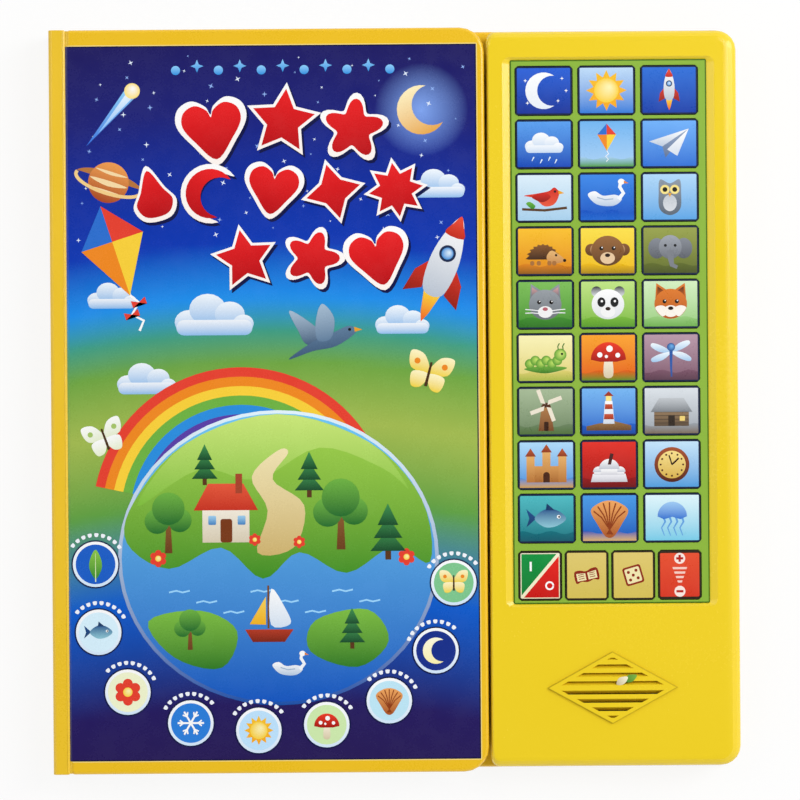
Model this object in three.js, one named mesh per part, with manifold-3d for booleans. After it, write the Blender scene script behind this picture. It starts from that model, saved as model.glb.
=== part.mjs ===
// A children's sound book, lying closed on its back.
// Millimetres. +X is the reader's right, +Y the top of the page, +Z up out of the front cover.
// The origin is the middle of the footprint, on the underside of the back board.
import * as THREE from 'three';
import { mergeVertices } from 'three/addons/utils/BufferGeometryUtils.js';
import Module from 'manifold-3d';

const wasm = await Module();
wasm.setup();

// Across the book, from the spine to the outer edge of the sound module
const spineStripWidth = 6.2;
const hingeGap = 0.5;
const coverWidth = 160.1;
const moduleGap = 0.9;
const moduleWidth = 96.6;
const bookHeight = 285;

// Clearances
const seat = 0.3;
const filmSeat = 0.05;

// Book block
const boardThickness = 3;
const boardEdgeRadius = 1.1;
const boardCornerRadius = 9.5;
const spineCornerRadius = 1.6;
const spineWallThickness = 3;
const leafCount = 8;
const leafThickness = 1.5;
const leafGap = 0.34;
const leafGapDepth = 2.5;
const pageMargin = 1.4;
const pageCornerRadius = 8;

// Module housing
const moduleRise = 0.5;
const moduleSideInset = 0.9;
const moduleEndInset = 1.7;
const wallThickness = 2;
const deckThickness = 2;
const basePlateThickness = 2;
const outerCornerRadius = 7.5;
const innerCornerRadius = 3.5;
const leastCornerRadius = 0.5;
const shoulderDrop = 3.6;
const outerShoulder = 5.3;
const endShoulder = 3.8;
const innerShoulder = 0.9;
const lipHeight = 2;
const lipThickness = 1.2;

// Keypad panel, set into the module's top face
const panelFromModuleTop = 11.1;
const panelFromModuleBottom = 62.32;
const panelFromInnerSide = 8.925;
const panelFromOuterSide = 11.625;
const panelDepth = 1.1;
const panelCornerRadius = 1.5;
const panelSideSlope = 3;
const panelEndSlope = 1.1;
const panelRib = 2;
const labelThickness = 0.35;

// Keys
const pictureColumns = 3;
const pictureRows = 9;
const columnGap = 2.35;
const rowGap = 1.86;
const controlKeys = ['power_key', 'study_key', 'game_key', 'volume_key'];
const controlKeyHeight = 18.6;
const controlGap = 1.6;
const controlRowGap = 3.3;
const keyMarginLeft = 2.1;
const keyMarginRight = 3.4;
const keyMarginTop = 2.5;
const keyMarginBottom = 1.5;
const keyCornerRadius = 0.9;
const keyProud = 0.25;
const keyClearance = 0.3;
const keyTravel = 0.8;
const keySkin = 1.2;
const keyEarReach = 0.5;
const keyEarThickness = 1;
const keyEarLength = 6;
const plungerDrop = 0.6;
const plungerSize = 4;
const rockerPinLength = 3;
const rockerPlungerShare = 0.58;

// Key mat and circuit board
const supportRibHeight = 2.4;
const supportRibWidth = 1.6;
const supportRibInset = 6;
const circuitBoardThickness = 1.6;
const circuitBoardMargin = 0.9;
const matThickness = 1.2;
const matMargin = 1.2;
const domeBaseRadius = 4.2;
const domeTopRadius = 2.6;
const chipLength = 18;
const chipWidth = 12;
const chipHeight = 1.5;
const chipFromMiddle = 60;

// Speaker grille, a diamond of louvred slots
const grilleFromModuleBottom = 30.2;
const grilleWidth = 49.4;
const grilleHeight = 27.3;
const grilleRise = 0.8;
const grilleRim = 1.7;
const slotCount = 8;
const slotPitch = 3.2;
const slotHeight = 1.5;
const slotSlant = 0.5;

// Speaker
const speakerRadius = 18;
const speakerFlange = 2.4;
const speakerFlangeThickness = 1.2;
const speakerDepth = 7;
const basketWall = 0.8;
const magnetRadius = 9;
const magnetHeight = 4.5;
const coneThickness = 0.6;
const dustCapRadius = 4.5;
const dustCapRise = 1.5;
const coneDepth = 4;
const speakerRingWall = 1.2;
const speakerRingDepth = 3;

// Batteries and their compartment
const cellRadius = 5.25;
const cellLength = 44.5;
const cellNubRadius = 1.9;
const cellNubHeight = 0.8;
const cellPitch = 10.8;
const cellEndRoom = 3;
const cellSideRoom = 0.75;
const compartmentWall = 1.2;
const compartmentFromModuleSide = 2.7;
const compartmentFromModuleBottom = 8.7;
const compartmentHeight = 10.2;
const doorLedge = 1.3;
const contactThickness = 0.5;
const contactHeight = 7;
const contactRadius = 2.2;
const contactFaceWidth = 9;

// Battery door, closed from outside through the back board
const doorOverlap = 1.2;
const doorRecess = 0.6;
const doorThickness = 1.5;
const doorTongueWidth = 6;
const doorTongueFromMiddle = 6;
const doorTongueThickness = 1.2;
const doorTongueStem = 1;
const doorCutoutGap = 0.5;
const doorScrewLand = 6.6;
const doorRibThickness = 1.2;
const doorRibs = 2;

// Screws and their bosses
const screwRadius = 1.1;
const screwHeadRadius = 2.5;
const screwHeadFaceRadius = 2;
const screwHeadHeight = 1.3;
const screwLength = 8;
const bossRadius = 3;
const bossFromSide = 5.7;
const bossFromOuterSide = 6.2;
const bossFromEnd = 7.8;
const bossAbovePanelEnd = 6;

// Rounding steps
const cornerSteps = 5;
const leafCornerSteps = 2;
const keyCornerSteps = 1;
const edgeSteps = 3;
const shoulderSteps = 4;
const cavityShoulderSteps = 2;
const roundSteps = 16;
const smallRoundSteps = 8;
const cellSteps = 10;
const domeSteps = 6;

// Places across the book
const bookWidth = spineStripWidth + hingeGap + coverWidth + moduleGap + moduleWidth;
const leftX = -bookWidth / 2;
const rightX = bookWidth / 2;
const topY = bookHeight / 2;
const bottomY = -bookHeight / 2;
const stripRightX = leftX + spineStripWidth;
const coverLeftX = stripRightX + hingeGap;
const coverRightX = coverLeftX + coverWidth;
const moduleLeftX = coverRightX + moduleGap;
const moduleRightX = rightX - moduleSideInset;
const moduleTopY = topY - moduleEndInset;
const moduleBottomY = bottomY + moduleEndInset;

// Heights
const backTopZ = boardThickness;
const pageBottomZ = backTopZ + seat;
const pageTopZ = pageBottomZ + leafCount * leafThickness + (leafCount - 1) * leafGap;
const coverBottomZ = pageTopZ + seat;
const coverTopZ = coverBottomZ + boardThickness;
const moduleTopZ = coverTopZ + moduleRise;
const plateBottomZ = backTopZ + seat;
const plateTopZ = plateBottomZ + basePlateThickness;
const shellBottomZ = plateTopZ + seat;
const ceilingZ = moduleTopZ - deckThickness;
const panelFloorZ = moduleTopZ - panelDepth;
const deckUnderZ = panelFloorZ - deckThickness;
const keyTopZ = panelFloorZ + labelThickness + keyProud;
const earTopZ = deckUnderZ - seat;
const skirtBottomZ = earTopZ - keyEarThickness;
const plungerBottomZ = skirtBottomZ - plungerDrop;
const circuitBoardBottomZ = plateTopZ + supportRibHeight + seat;
const circuitBoardTopZ = circuitBoardBottomZ + circuitBoardThickness;
const matBottomZ = circuitBoardTopZ + seat;
const matTopZ = matBottomZ + matThickness;
const domeTopZ = plungerBottomZ - keyTravel - seat;

// Panel and key places
const panelLeftX = moduleLeftX + panelFromInnerSide;
const panelRightX = moduleRightX - panelFromOuterSide;
const panelMiddleX = (panelLeftX + panelRightX) / 2;
const panelTopY = moduleTopY - panelFromModuleTop;
const panelBottomY = moduleBottomY + panelFromModuleBottom;
const pictureBlockWidth = panelRightX - panelLeftX - keyMarginLeft - keyMarginRight;
const pictureKeyWidth = (pictureBlockWidth - (pictureColumns - 1) * columnGap) / pictureColumns;
const controlBlockHeight = keyMarginBottom + controlKeyHeight + controlRowGap;
const pictureBlockHeight = panelTopY - keyMarginTop - panelBottomY - controlBlockHeight;
const pictureKeyHeight = (pictureBlockHeight - (pictureRows - 1) * rowGap) / pictureRows;
const firstColumnX = panelLeftX + keyMarginLeft + pictureKeyWidth / 2;
const firstRowY = panelTopY - keyMarginTop - pictureKeyHeight / 2;
const controlKeyWidth = (pictureBlockWidth - (controlKeys.length - 1) * controlGap) / controlKeys.length;
const firstControlX = panelLeftX + keyMarginLeft + controlKeyWidth / 2;
const controlRowY = panelBottomY + keyMarginBottom + controlKeyHeight / 2;

// Speaker, battery and screw places
const grilleX = panelMiddleX;
const grilleY = moduleBottomY + grilleFromModuleBottom;
const speakerTopZ = ceilingZ - seat;
const compartmentLeftX = moduleLeftX + compartmentFromModuleSide + compartmentWall;
const compartmentWidth = cellPitch + 2 * cellRadius + 2 * cellSideRoom;
const compartmentRightX = compartmentLeftX + compartmentWidth;
const compartmentBottomY = moduleBottomY + compartmentFromModuleBottom + compartmentWall;
const compartmentLength = cellLength + 2 * cellEndRoom;
const compartmentTopY = compartmentBottomY + compartmentLength;
const compartmentMiddleX = (compartmentLeftX + compartmentRightX) / 2;
const cellZ = plateTopZ + cellRadius;
const cellMiddleY = (compartmentBottomY + compartmentTopY) / 2;
const doorLeftX = compartmentLeftX - doorOverlap;
const doorRightX = compartmentRightX + doorOverlap;
const doorTopY = compartmentTopY - doorLedge + doorOverlap;
const doorBottomY = compartmentBottomY - doorScrewLand;
const doorScrewY = compartmentBottomY - doorScrewLand / 2;
const doorTopZ = plateBottomZ - seat;
const screwPlaces = [
  [moduleLeftX + bossFromSide, moduleTopY - bossFromEnd],
  [moduleLeftX + bossFromSide, (moduleTopY - bossFromEnd + panelBottomY) / 2],
  [moduleLeftX + bossFromSide, panelBottomY + bossAbovePanelEnd],
  [moduleRightX - bossFromOuterSide, moduleTopY - bossFromEnd],
  [moduleRightX - bossFromOuterSide, 0],
  [moduleRightX - bossFromOuterSide, moduleBottomY + bossFromEnd],
];

// Colours
const yellowBoard = paint(0xefc42f, 0.35);
const yellowStrip = paint(0xe9c132, 0.4);
const yellowHousing = paint(0xf0cb2b, 0.32);
const whitePages = paint(0xf2f0e8, 0.7);
const greenFilm = paint(0x8cb63a, 0.3);
const bluePicture = paint(0x3f8fd0, 0.3);
const creamKey = paint(0xe1cd6e, 0.3);
const redKey = paint(0xe04228, 0.3);
const greenKey = paint(0x098838, 0.3);
const greyRubber = paint(0x8a8c90, 0.8);
const boardGreen = paint(0x1f6a3a, 0.5);
const blackPlastic = paint(0x1c1c1e, 0.5);
const steel = paint(0xb8babd, 0.35, 0.9);
const magnetGrey = paint(0x3a3a3e, 0.5, 0.4);
const paperCone = paint(0x2b2723, 0.9);
const cellJacket = paint(0x40444c, 0.4);

function paint(color, roughness, metalness = 0) {
  return new THREE.MeshStandardMaterial({ color, roughness, metalness });
}

// A closed geometry as a solid that can be joined and cut
function solid(geometry) {
  const bare = geometry.clone();
  bare.deleteAttribute('normal');
  bare.deleteAttribute('uv');
  const merged = mergeVertices(bare);
  const triVerts = new Uint32Array(merged.index.array);
  const vertProperties = new Float32Array(merged.attributes.position.array);
  return new wasm.Manifold(new wasm.Mesh({ numProp: 3, vertProperties, triVerts }));
}

function joined(solids) {
  return solids.reduce((whole, piece) => whole.add(piece));
}

function geometryOf(shape) {
  const { vertProperties, triVerts } = shape.getMesh();
  const geometry = new THREE.BufferGeometry();
  geometry.setAttribute('position', new THREE.BufferAttribute(new Float32Array(vertProperties), 3));
  geometry.setIndex(new THREE.BufferAttribute(new Uint32Array(triVerts), 1));
  geometry.computeVertexNormals();
  return geometry;
}

// An outline that runs anticlockwise from the lower left corner
function roundedOutline({ xMin, xMax, yMin, yMax, leftRadius, rightRadius, steps = cornerSteps }) {
  const corners = [
    [xMin + leftRadius, yMin + leftRadius, leftRadius, Math.PI],
    [xMax - rightRadius, yMin + rightRadius, rightRadius, 1.5 * Math.PI],
    [xMax - rightRadius, yMax - rightRadius, rightRadius, 0],
    [xMin + leftRadius, yMax - leftRadius, leftRadius, 0.5 * Math.PI],
  ];
  const points = [];
  for (const [x, y, radius, start] of corners) {
    for (let step = 0; step <= steps; step += 1) {
      const angle = start + (step / steps) * 0.5 * Math.PI;
      points.push(new THREE.Vector2(x + radius * Math.cos(angle), y + radius * Math.sin(angle)));
    }
  }
  return points;
}

function prism(points, bottomZ, topZ) {
  const geometry = new THREE.ExtrudeGeometry(new THREE.Shape(points), {
    depth: topZ - bottomZ,
    bevelEnabled: false,
    curveSegments: 1,
  });
  geometry.translate(0, 0, bottomZ);
  return solid(geometry);
}

function block(xMin, xMax, yMin, yMax, zMin, zMax) {
  const geometry = new THREE.BoxGeometry(xMax - xMin, yMax - yMin, zMax - zMin);
  geometry.translate((xMin + xMax) / 2, (yMin + yMax) / 2, (zMin + zMax) / 2);
  return solid(geometry);
}

function cylinder(x, y, radius, zMin, zMax, steps = smallRoundSteps, topRadius = radius) {
  const geometry = new THREE.CylinderGeometry(topRadius, radius, zMax - zMin, steps);
  geometry.rotateX(Math.PI / 2);
  geometry.translate(x, y, (zMin + zMax) / 2);
  return solid(geometry);
}

// A profile of [radius, height] points turned about a vertical axis
function turned(profile, steps) {
  const points = profile.map(([radius, z]) => new THREE.Vector2(radius, z));
  const geometry = new THREE.LatheGeometry(points, steps);
  geometry.rotateX(Math.PI / 2);
  return solid(geometry);
}

// Level rings of equal point counts, skinned from the lowest to the highest
function loft(rings) {
  const count = rings[0].points.length;
  const positions = [];
  const index = [];
  for (const { points, z } of rings) {
    for (const point of points) {
      positions.push(point.x, point.y, z);
    }
  }
  for (let ring = 0; ring < rings.length - 1; ring += 1) {
    for (let i = 0; i < count; i += 1) {
      const a = ring * count + i;
      const b = ring * count + ((i + 1) % count);
      index.push(a, b, b + count, a, b + count, a + count);
    }
  }
  const last = (rings.length - 1) * count;
  for (let i = 1; i < count - 1; i += 1) {
    index.push(0, i + 1, i);
    index.push(last, last + i, last + i + 1);
  }
  const geometry = new THREE.BufferGeometry();
  geometry.setAttribute('position', new THREE.Float32BufferAttribute(positions, 3));
  geometry.setIndex(index);
  return solid(geometry);
}

// A board wrapped in paper: its edges are rounded above and below
function wrappedBoard({ xMin, xMax, leftRadius, rightRadius, bottomZ }) {
  const rings = [];
  for (let step = 0; step <= 2 * edgeSteps + 1; step += 1) {
    const upper = step > edgeSteps;
    const turn = ((upper ? step - edgeSteps - 1 : step) / edgeSteps) * 0.5 * Math.PI;
    const inset = boardEdgeRadius * (1 - (upper ? Math.cos(turn) : Math.sin(turn)));
    const z = upper
      ? bottomZ + boardThickness - boardEdgeRadius * (1 - Math.sin(turn))
      : bottomZ + boardEdgeRadius * (1 - Math.cos(turn));
    const points = roundedOutline({
      xMin: xMin + inset,
      xMax: xMax - inset,
      yMin: bottomY + inset,
      yMax: topY - inset,
      leftRadius: leftRadius - inset,
      rightRadius: rightRadius - inset,
    });
    rings.push({ points, z });
  }
  return loft(rings);
}

function frontCover() {
  return wrappedBoard({
    xMin: coverLeftX,
    xMax: coverRightX,
    leftRadius: spineCornerRadius,
    rightRadius: boardCornerRadius,
    bottomZ: coverBottomZ,
  });
}

// The back board carries the pages and the module, and opens for the battery door
function backCover() {
  const board = wrappedBoard({
    xMin: leftX,
    xMax: rightX,
    leftRadius: spineCornerRadius,
    rightRadius: outerCornerRadius,
    bottomZ: 0,
  });
  const cutout = block(
    doorLeftX - doorCutoutGap,
    doorRightX + doorCutoutGap,
    doorBottomY - doorCutoutGap,
    doorTopY + doorCutoutGap,
    -boardThickness,
    2 * boardThickness,
  );
  return board.subtract(cutout);
}

// Spine wall with the narrow strip that the front cover folds from
function spineCover() {
  const profile = new THREE.Shape();
  profile.moveTo(leftX, pageBottomZ);
  profile.lineTo(leftX + spineWallThickness, pageBottomZ);
  profile.lineTo(leftX + spineWallThickness, coverBottomZ);
  profile.lineTo(stripRightX, coverBottomZ);
  profile.lineTo(stripRightX, coverTopZ - boardEdgeRadius);
  profile.absarc(
    stripRightX - boardEdgeRadius,
    coverTopZ - boardEdgeRadius,
    boardEdgeRadius,
    0,
    Math.PI / 2,
    false,
  );
  profile.absarc(
    leftX + spineCornerRadius,
    coverTopZ - spineCornerRadius,
    spineCornerRadius,
    Math.PI / 2,
    Math.PI,
    false,
  );
  const geometry = new THREE.ExtrudeGeometry(profile, {
    depth: bookHeight,
    bevelEnabled: false,
    curveSegments: edgeSteps + 1,
  });
  geometry.rotateX(Math.PI / 2);
  geometry.translate(0, topY, 0);
  return solid(geometry);
}

// Board leaves glued at the spine: the free edges show as a stack with fine gaps
function pageBlock() {
  const spineX = leftX + spineWallThickness + seat;
  const leafOutline = (inset) =>
    roundedOutline({
      xMin: spineX,
      xMax: coverRightX - pageMargin - inset,
      yMin: bottomY + pageMargin + inset,
      yMax: topY - pageMargin - inset,
      leftRadius: spineCornerRadius,
      rightRadius: pageCornerRadius,
      steps: leafCornerSteps,
    });
  const core = prism(leafOutline(leafGapDepth), pageBottomZ, pageTopZ);
  const leaves = [];
  for (let leaf = 0; leaf < leafCount; leaf += 1) {
    const bottomZ = pageBottomZ + leaf * (leafThickness + leafGap);
    leaves.push(prism(leafOutline(0), bottomZ, bottomZ + leafThickness));
  }
  return joined([core, ...leaves]);
}

// The module's outline, drawn in by a wall and by the shoulder at a given turn
function moduleRing(wall, turn) {
  const shoulder = 1 - Math.cos(turn);
  const outer = wall + outerShoulder * shoulder;
  const end = wall + endShoulder * shoulder;
  return roundedOutline({
    xMin: moduleLeftX + wall + innerShoulder * shoulder,
    xMax: moduleRightX - outer,
    yMin: moduleBottomY + end,
    yMax: moduleTopY - end,
    leftRadius: Math.max(innerCornerRadius - wall - innerShoulder * shoulder, leastCornerRadius),
    rightRadius: Math.max(outerCornerRadius - end, leastCornerRadius),
  });
}

function moduleForm(wall, bottomZ, topZ, steps) {
  const rings = [{ points: moduleRing(wall, 0), z: bottomZ }];
  for (let step = 0; step <= steps; step += 1) {
    const turn = (step / steps) * 0.5 * Math.PI;
    const z = topZ - shoulderDrop * (1 - Math.sin(turn));
    rings.push({ points: moduleRing(wall, turn), z });
  }
  return loft(rings);
}

function panelOutline(sideGrowth, endGrowth) {
  const radius = panelCornerRadius + Math.max(Math.min(sideGrowth, endGrowth), 0);
  return roundedOutline({
    xMin: panelLeftX - sideGrowth,
    xMax: panelRightX + sideGrowth,
    yMin: panelBottomY - endGrowth,
    yMax: panelTopY + endGrowth,
    leftRadius: radius,
    rightRadius: radius,
    steps: edgeSteps,
  });
}

function keyOutline(x, y, width, height, growth, steps = keyCornerSteps) {
  const radius = keyCornerRadius + growth;
  return roundedOutline({
    xMin: x - width / 2 - growth,
    xMax: x + width / 2 + growth,
    yMin: y - height / 2 - growth,
    yMax: y + height / 2 + growth,
    leftRadius: radius,
    rightRadius: radius,
    steps,
  });
}

// Every key with its name, place, size and plunger places
function keyList() {
  const keys = [];
  for (let row = 0; row < pictureRows; row += 1) {
    for (let column = 0; column < pictureColumns; column += 1) {
      keys.push({
        name: `picture_key_r${row + 1}c${column + 1}`,
        x: firstColumnX + column * (pictureKeyWidth + columnGap),
        y: firstRowY - row * (pictureKeyHeight + rowGap),
        width: pictureKeyWidth,
        height: pictureKeyHeight,
        hold: 'sides',
        plungers: [0],
      });
    }
  }
  controlKeys.forEach((name, place) => {
    const rocker = name === 'volume_key';
    const reach = (controlKeyHeight / 2) * rockerPlungerShare;
    keys.push({
      name,
      x: firstControlX + place * (controlKeyWidth + controlGap),
      y: controlRowY,
      width: controlKeyWidth,
      height: controlKeyHeight,
      hold: rocker ? 'pins' : 'ends',
      plungers: rocker ? [-reach, reach] : [0],
    });
  });
  return keys;
}

// Ears that catch under the deck. The rocker has short pins at its middle instead.
function keyEars({ width, height, hold }) {
  const reachX = width / 2 + keyClearance + keyEarReach;
  const reachY = height / 2 + keyClearance + keyEarReach;
  if (hold === 'sides') {
    return block(-reachX, reachX, -keyEarLength, keyEarLength, skirtBottomZ, earTopZ);
  }
  if (hold === 'ends') {
    return block(-keyEarLength, keyEarLength, -reachY, reachY, skirtBottomZ, earTopZ);
  }
  return block(-reachX, reachX, -rockerPinLength / 2, rockerPinLength / 2, skirtBottomZ, earTopZ);
}

// A moulded cap, hollow below, with its retaining ears and its plungers
function keyCap(key) {
  const { width, height, plungers } = key;
  const cap = prism(keyOutline(0, 0, width, height, 0), skirtBottomZ, keyTopZ);
  const innerTopZ = keyTopZ - keySkin;
  const halfWidth = width / 2 - keySkin;
  const halfHeight = height / 2 - keySkin;
  const hollow = block(-halfWidth, halfWidth, -halfHeight, halfHeight, skirtBottomZ - keySkin, innerTopZ);
  const posts = plungers.map((y) =>
    block(
      -plungerSize / 2,
      plungerSize / 2,
      y - plungerSize / 2,
      y + plungerSize / 2,
      plungerBottomZ,
      innerTopZ + keySkin / 2,
    ),
  );
  return joined([cap.add(keyEars(key)).subtract(hollow), ...posts]);
}

function keyMaterial(name) {
  if (name === 'power_key') return greenKey;
  if (name === 'volume_key') return redKey;
  return name.startsWith('picture') ? bluePicture : creamKey;
}

// Half of a diamond's width at a height above its middle
function diamondHalfWidth(halfWidth, halfHeight, y) {
  return halfWidth * Math.max(1 - Math.abs(y) / halfHeight, 0);
}

// The grille's slots lean outwards from the diamond's middle, like the louvres of a shutter
function grilleSlots() {
  const rimShare = grilleRim / Math.sin(Math.atan2(grilleHeight, grilleWidth));
  const halfWidth = grilleWidth / 2 - rimShare;
  const halfHeight = (halfWidth * grilleHeight) / grilleWidth;
  const topZ = moduleTopZ + grilleRise + seat;
  const bottomZ = ceilingZ - seat;
  const slots = [];
  for (let slot = 0; slot < slotCount; slot += 1) {
    const middle = (slot - (slotCount - 1) / 2) * slotPitch;
    const side = Math.sign(middle);
    const nearY = Math.abs(middle) - slotHeight / 2;
    const farY = Math.min(Math.abs(middle) + slotHeight / 2, halfHeight - slotHeight / 4);
    const nearX = diamondHalfWidth(halfWidth, halfHeight, nearY);
    const farX = diamondHalfWidth(halfWidth, halfHeight, farY);
    const outline = [
      [-nearX, side * nearY],
      [nearX, side * nearY],
      [farX, side * farY],
      [-farX, side * farY],
    ];
    if (side < 0) outline.reverse();
    const ring = (z) => {
      const lean = side * slotSlant * (topZ - z);
      return { z, points: outline.map(([x, y]) => new THREE.Vector2(grilleX + x, grilleY + y + lean)) };
    };
    slots.push(loft([ring(bottomZ), ring(topZ)]));
  }
  return joined(slots);
}

function grilleDiamond() {
  const points = [
    new THREE.Vector2(grilleX - grilleWidth / 2, grilleY),
    new THREE.Vector2(grilleX, grilleY - grilleHeight / 2),
    new THREE.Vector2(grilleX + grilleWidth / 2, grilleY),
    new THREE.Vector2(grilleX, grilleY + grilleHeight / 2),
  ];
  return prism(points, ceilingZ, moduleTopZ + grilleRise);
}

// The moulded top shell: walls, rolled shoulder, sunk panel with its key windows, grille and bosses
function upperHousing(keys) {
  const deckBlock = block(
    panelLeftX - panelRib,
    panelRightX + panelRib,
    panelBottomY - panelRib,
    panelTopY + panelRib,
    deckUnderZ,
    moduleTopZ,
  );
  const cavityBottomZ = shellBottomZ - wallThickness;
  const cavity = moduleForm(wallThickness, cavityBottomZ, ceilingZ, cavityShoulderSteps).subtract(deckBlock);
  const panelCut = loft([
    { points: panelOutline(0, 0), z: panelFloorZ },
    { points: panelOutline(panelSideSlope, panelEndSlope), z: moduleTopZ },
    { points: panelOutline(panelSideSlope, panelEndSlope), z: moduleTopZ + panelDepth },
  ]);
  const windows = keys.map(({ x, y, width, height }) =>
    block(
      x - width / 2 - keyClearance,
      x + width / 2 + keyClearance,
      y - height / 2 - keyClearance,
      y + height / 2 + keyClearance,
      deckUnderZ - deckThickness,
      moduleTopZ,
    ),
  );
  const bossBottomZ = shellBottomZ + lipHeight;
  const bosses = screwPlaces.map(([x, y]) => cylinder(x, y, bossRadius, bossBottomZ, ceilingZ + seat));
  const bores = screwPlaces.map(([x, y]) =>
    cylinder(x, y, screwRadius + seat, bossBottomZ - seat, bossBottomZ + screwLength),
  );
  const ringInner = speakerRadius + seat;
  const ringOuter = ringInner + speakerRingWall;
  const ringBottomZ = ceilingZ - speakerRingDepth;
  const speakerRing = cylinder(grilleX, grilleY, ringOuter, ringBottomZ, ceilingZ + seat, roundSteps);
  const speakerSeat = cylinder(grilleX, grilleY, ringInner, ringBottomZ - seat, ceilingZ, roundSteps);
  return joined([
    moduleForm(0, shellBottomZ, moduleTopZ, shoulderSteps).subtract(cavity).subtract(panelCut),
    grilleDiamond(),
    speakerRing.subtract(speakerSeat),
    ...bosses,
  ])
    .subtract(joined(windows))
    .subtract(joined(bores))
    .subtract(grilleSlots());
}

// Base plate with its locating lip, screw posts, board ribs and battery compartment
function lowerHousing() {
  const lipOutline = wallThickness + seat;
  const lipTopZ = plateTopZ + lipHeight;
  const lip = prism(moduleRing(lipOutline, 0), plateTopZ - seat, lipTopZ).subtract(
    prism(moduleRing(lipOutline + lipThickness, 0), plateTopZ - 2 * seat, lipTopZ + seat),
  );
  const plate = prism(moduleRing(0, 0), plateBottomZ, plateTopZ);
  const postTopZ = shellBottomZ + lipHeight - seat;
  const posts = screwPlaces.map(([x, y]) => cylinder(x, y, bossRadius, plateBottomZ, postTopZ));
  const headTopZ = plateBottomZ + screwHeadHeight + 2 * seat;
  const postBores = screwPlaces.flatMap(([x, y]) => [
    cylinder(x, y, screwHeadRadius + seat, plateBottomZ - seat, headTopZ),
    cylinder(x, y, screwRadius + seat, plateBottomZ - seat, postTopZ + seat),
  ]);
  const ribs = [panelLeftX + supportRibInset, panelMiddleX, panelRightX - supportRibInset].map((x) =>
    block(
      x - supportRibWidth / 2,
      x + supportRibWidth / 2,
      panelBottomY + supportRibInset,
      panelTopY - supportRibInset,
      plateTopZ - seat,
      plateTopZ + supportRibHeight,
    ),
  );
  const outerWalls = block(
    compartmentLeftX - compartmentWall,
    compartmentRightX + compartmentWall,
    compartmentBottomY - compartmentWall,
    compartmentTopY + compartmentWall,
    plateTopZ - seat,
    plateTopZ + compartmentHeight,
  );
  const room = block(
    compartmentLeftX,
    compartmentRightX,
    compartmentBottomY,
    compartmentTopY,
    plateTopZ,
    plateTopZ + 2 * compartmentHeight,
  );
  const doorway = block(
    compartmentLeftX,
    compartmentRightX,
    compartmentBottomY,
    compartmentTopY - doorLedge,
    plateBottomZ - seat,
    plateTopZ + seat,
  );
  const doorBoss = cylinder(
    compartmentMiddleX,
    doorScrewY,
    bossRadius,
    plateTopZ - seat,
    plateTopZ + compartmentHeight,
  );
  const doorBore = cylinder(
    compartmentMiddleX,
    doorScrewY,
    screwRadius + seat,
    plateBottomZ - seat,
    doorTopZ + screwLength,
  );
  return joined([plate, lip, ...posts, ...ribs, outerWalls, doorBoss])
    .subtract(room)
    .subtract(doorway)
    .subtract(doorBore)
    .subtract(joined(postBores));
}

// The printed film around the keys
function keypadLabel(keys) {
  const bottomZ = panelFloorZ + filmSeat;
  const film = prism(panelOutline(-filmSeat, -filmSeat), bottomZ, panelFloorZ + labelThickness);
  const windows = keys.map(({ x, y, width, height }) =>
    prism(keyOutline(x, y, width, height, keyClearance), bottomZ - seat, panelFloorZ + 2 * labelThickness),
  );
  return film.subtract(joined(windows));
}

// Rubber mat with a dome below each plunger, drawn as low as a full press leaves it
function rubberKeypad(keys) {
  const sheet = block(
    panelLeftX + matMargin,
    panelRightX - matMargin,
    panelBottomY + matMargin / 2,
    panelTopY - matMargin,
    matBottomZ,
    matTopZ,
  );
  const domes = keys.flatMap(({ x, y, plungers }) =>
    plungers.map((offset) =>
      cylinder(x, y + offset, domeBaseRadius, matTopZ - seat, domeTopZ, domeSteps, domeTopRadius),
    ),
  );
  return joined([sheet, ...domes]);
}

function circuitBoard() {
  return block(
    panelLeftX + circuitBoardMargin,
    panelRightX - circuitBoardMargin,
    panelBottomY + circuitBoardMargin / 2,
    panelTopY - circuitBoardMargin,
    circuitBoardBottomZ,
    circuitBoardTopZ,
  );
}

function soundChip() {
  const topZ = circuitBoardBottomZ - filmSeat;
  const x = (panelMiddleX + panelRightX - supportRibInset) / 2;
  return block(
    x - chipWidth / 2,
    x + chipWidth / 2,
    chipFromMiddle - chipLength / 2,
    chipFromMiddle + chipLength / 2,
    topZ - chipHeight,
    topZ,
  );
}

// Speaker basket: a flange, a slanted wall and a floor that the magnet hangs under
function speakerBasket() {
  const flangeBottom = speakerTopZ - speakerFlangeThickness;
  const floorZ = speakerTopZ - speakerDepth;
  const mouth = speakerRadius - speakerFlange;
  const shape = turned(
    [
      [0, floorZ],
      [magnetRadius + basketWall, floorZ],
      [mouth, flangeBottom],
      [speakerRadius, flangeBottom],
      [speakerRadius, speakerTopZ],
      [mouth, speakerTopZ],
      [mouth - basketWall, speakerTopZ - speakerFlangeThickness],
      [magnetRadius, floorZ + basketWall],
      [0, floorZ + basketWall],
    ],
    roundSteps,
  );
  return shape.translate([grilleX, grilleY, 0]);
}

function speakerCone() {
  const topZ = speakerTopZ - speakerFlangeThickness / 2;
  const mouth = speakerRadius - speakerFlange - basketWall - seat;
  const floorZ = topZ - coneDepth;
  const shape = turned(
    [
      [0, floorZ + dustCapRise - coneThickness],
      [dustCapRadius, floorZ - coneThickness],
      [mouth - coneThickness, topZ - coneThickness],
      [mouth, topZ - coneThickness],
      [mouth, topZ],
      [mouth - coneThickness, topZ],
      [dustCapRadius, floorZ],
      [0, floorZ + dustCapRise],
    ],
    roundSteps,
  );
  return shape.translate([grilleX, grilleY, 0]);
}

function speakerMagnet() {
  const topZ = speakerTopZ - speakerDepth - seat;
  return cylinder(grilleX, grilleY, magnetRadius, topZ - magnetHeight, topZ, roundSteps);
}

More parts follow.
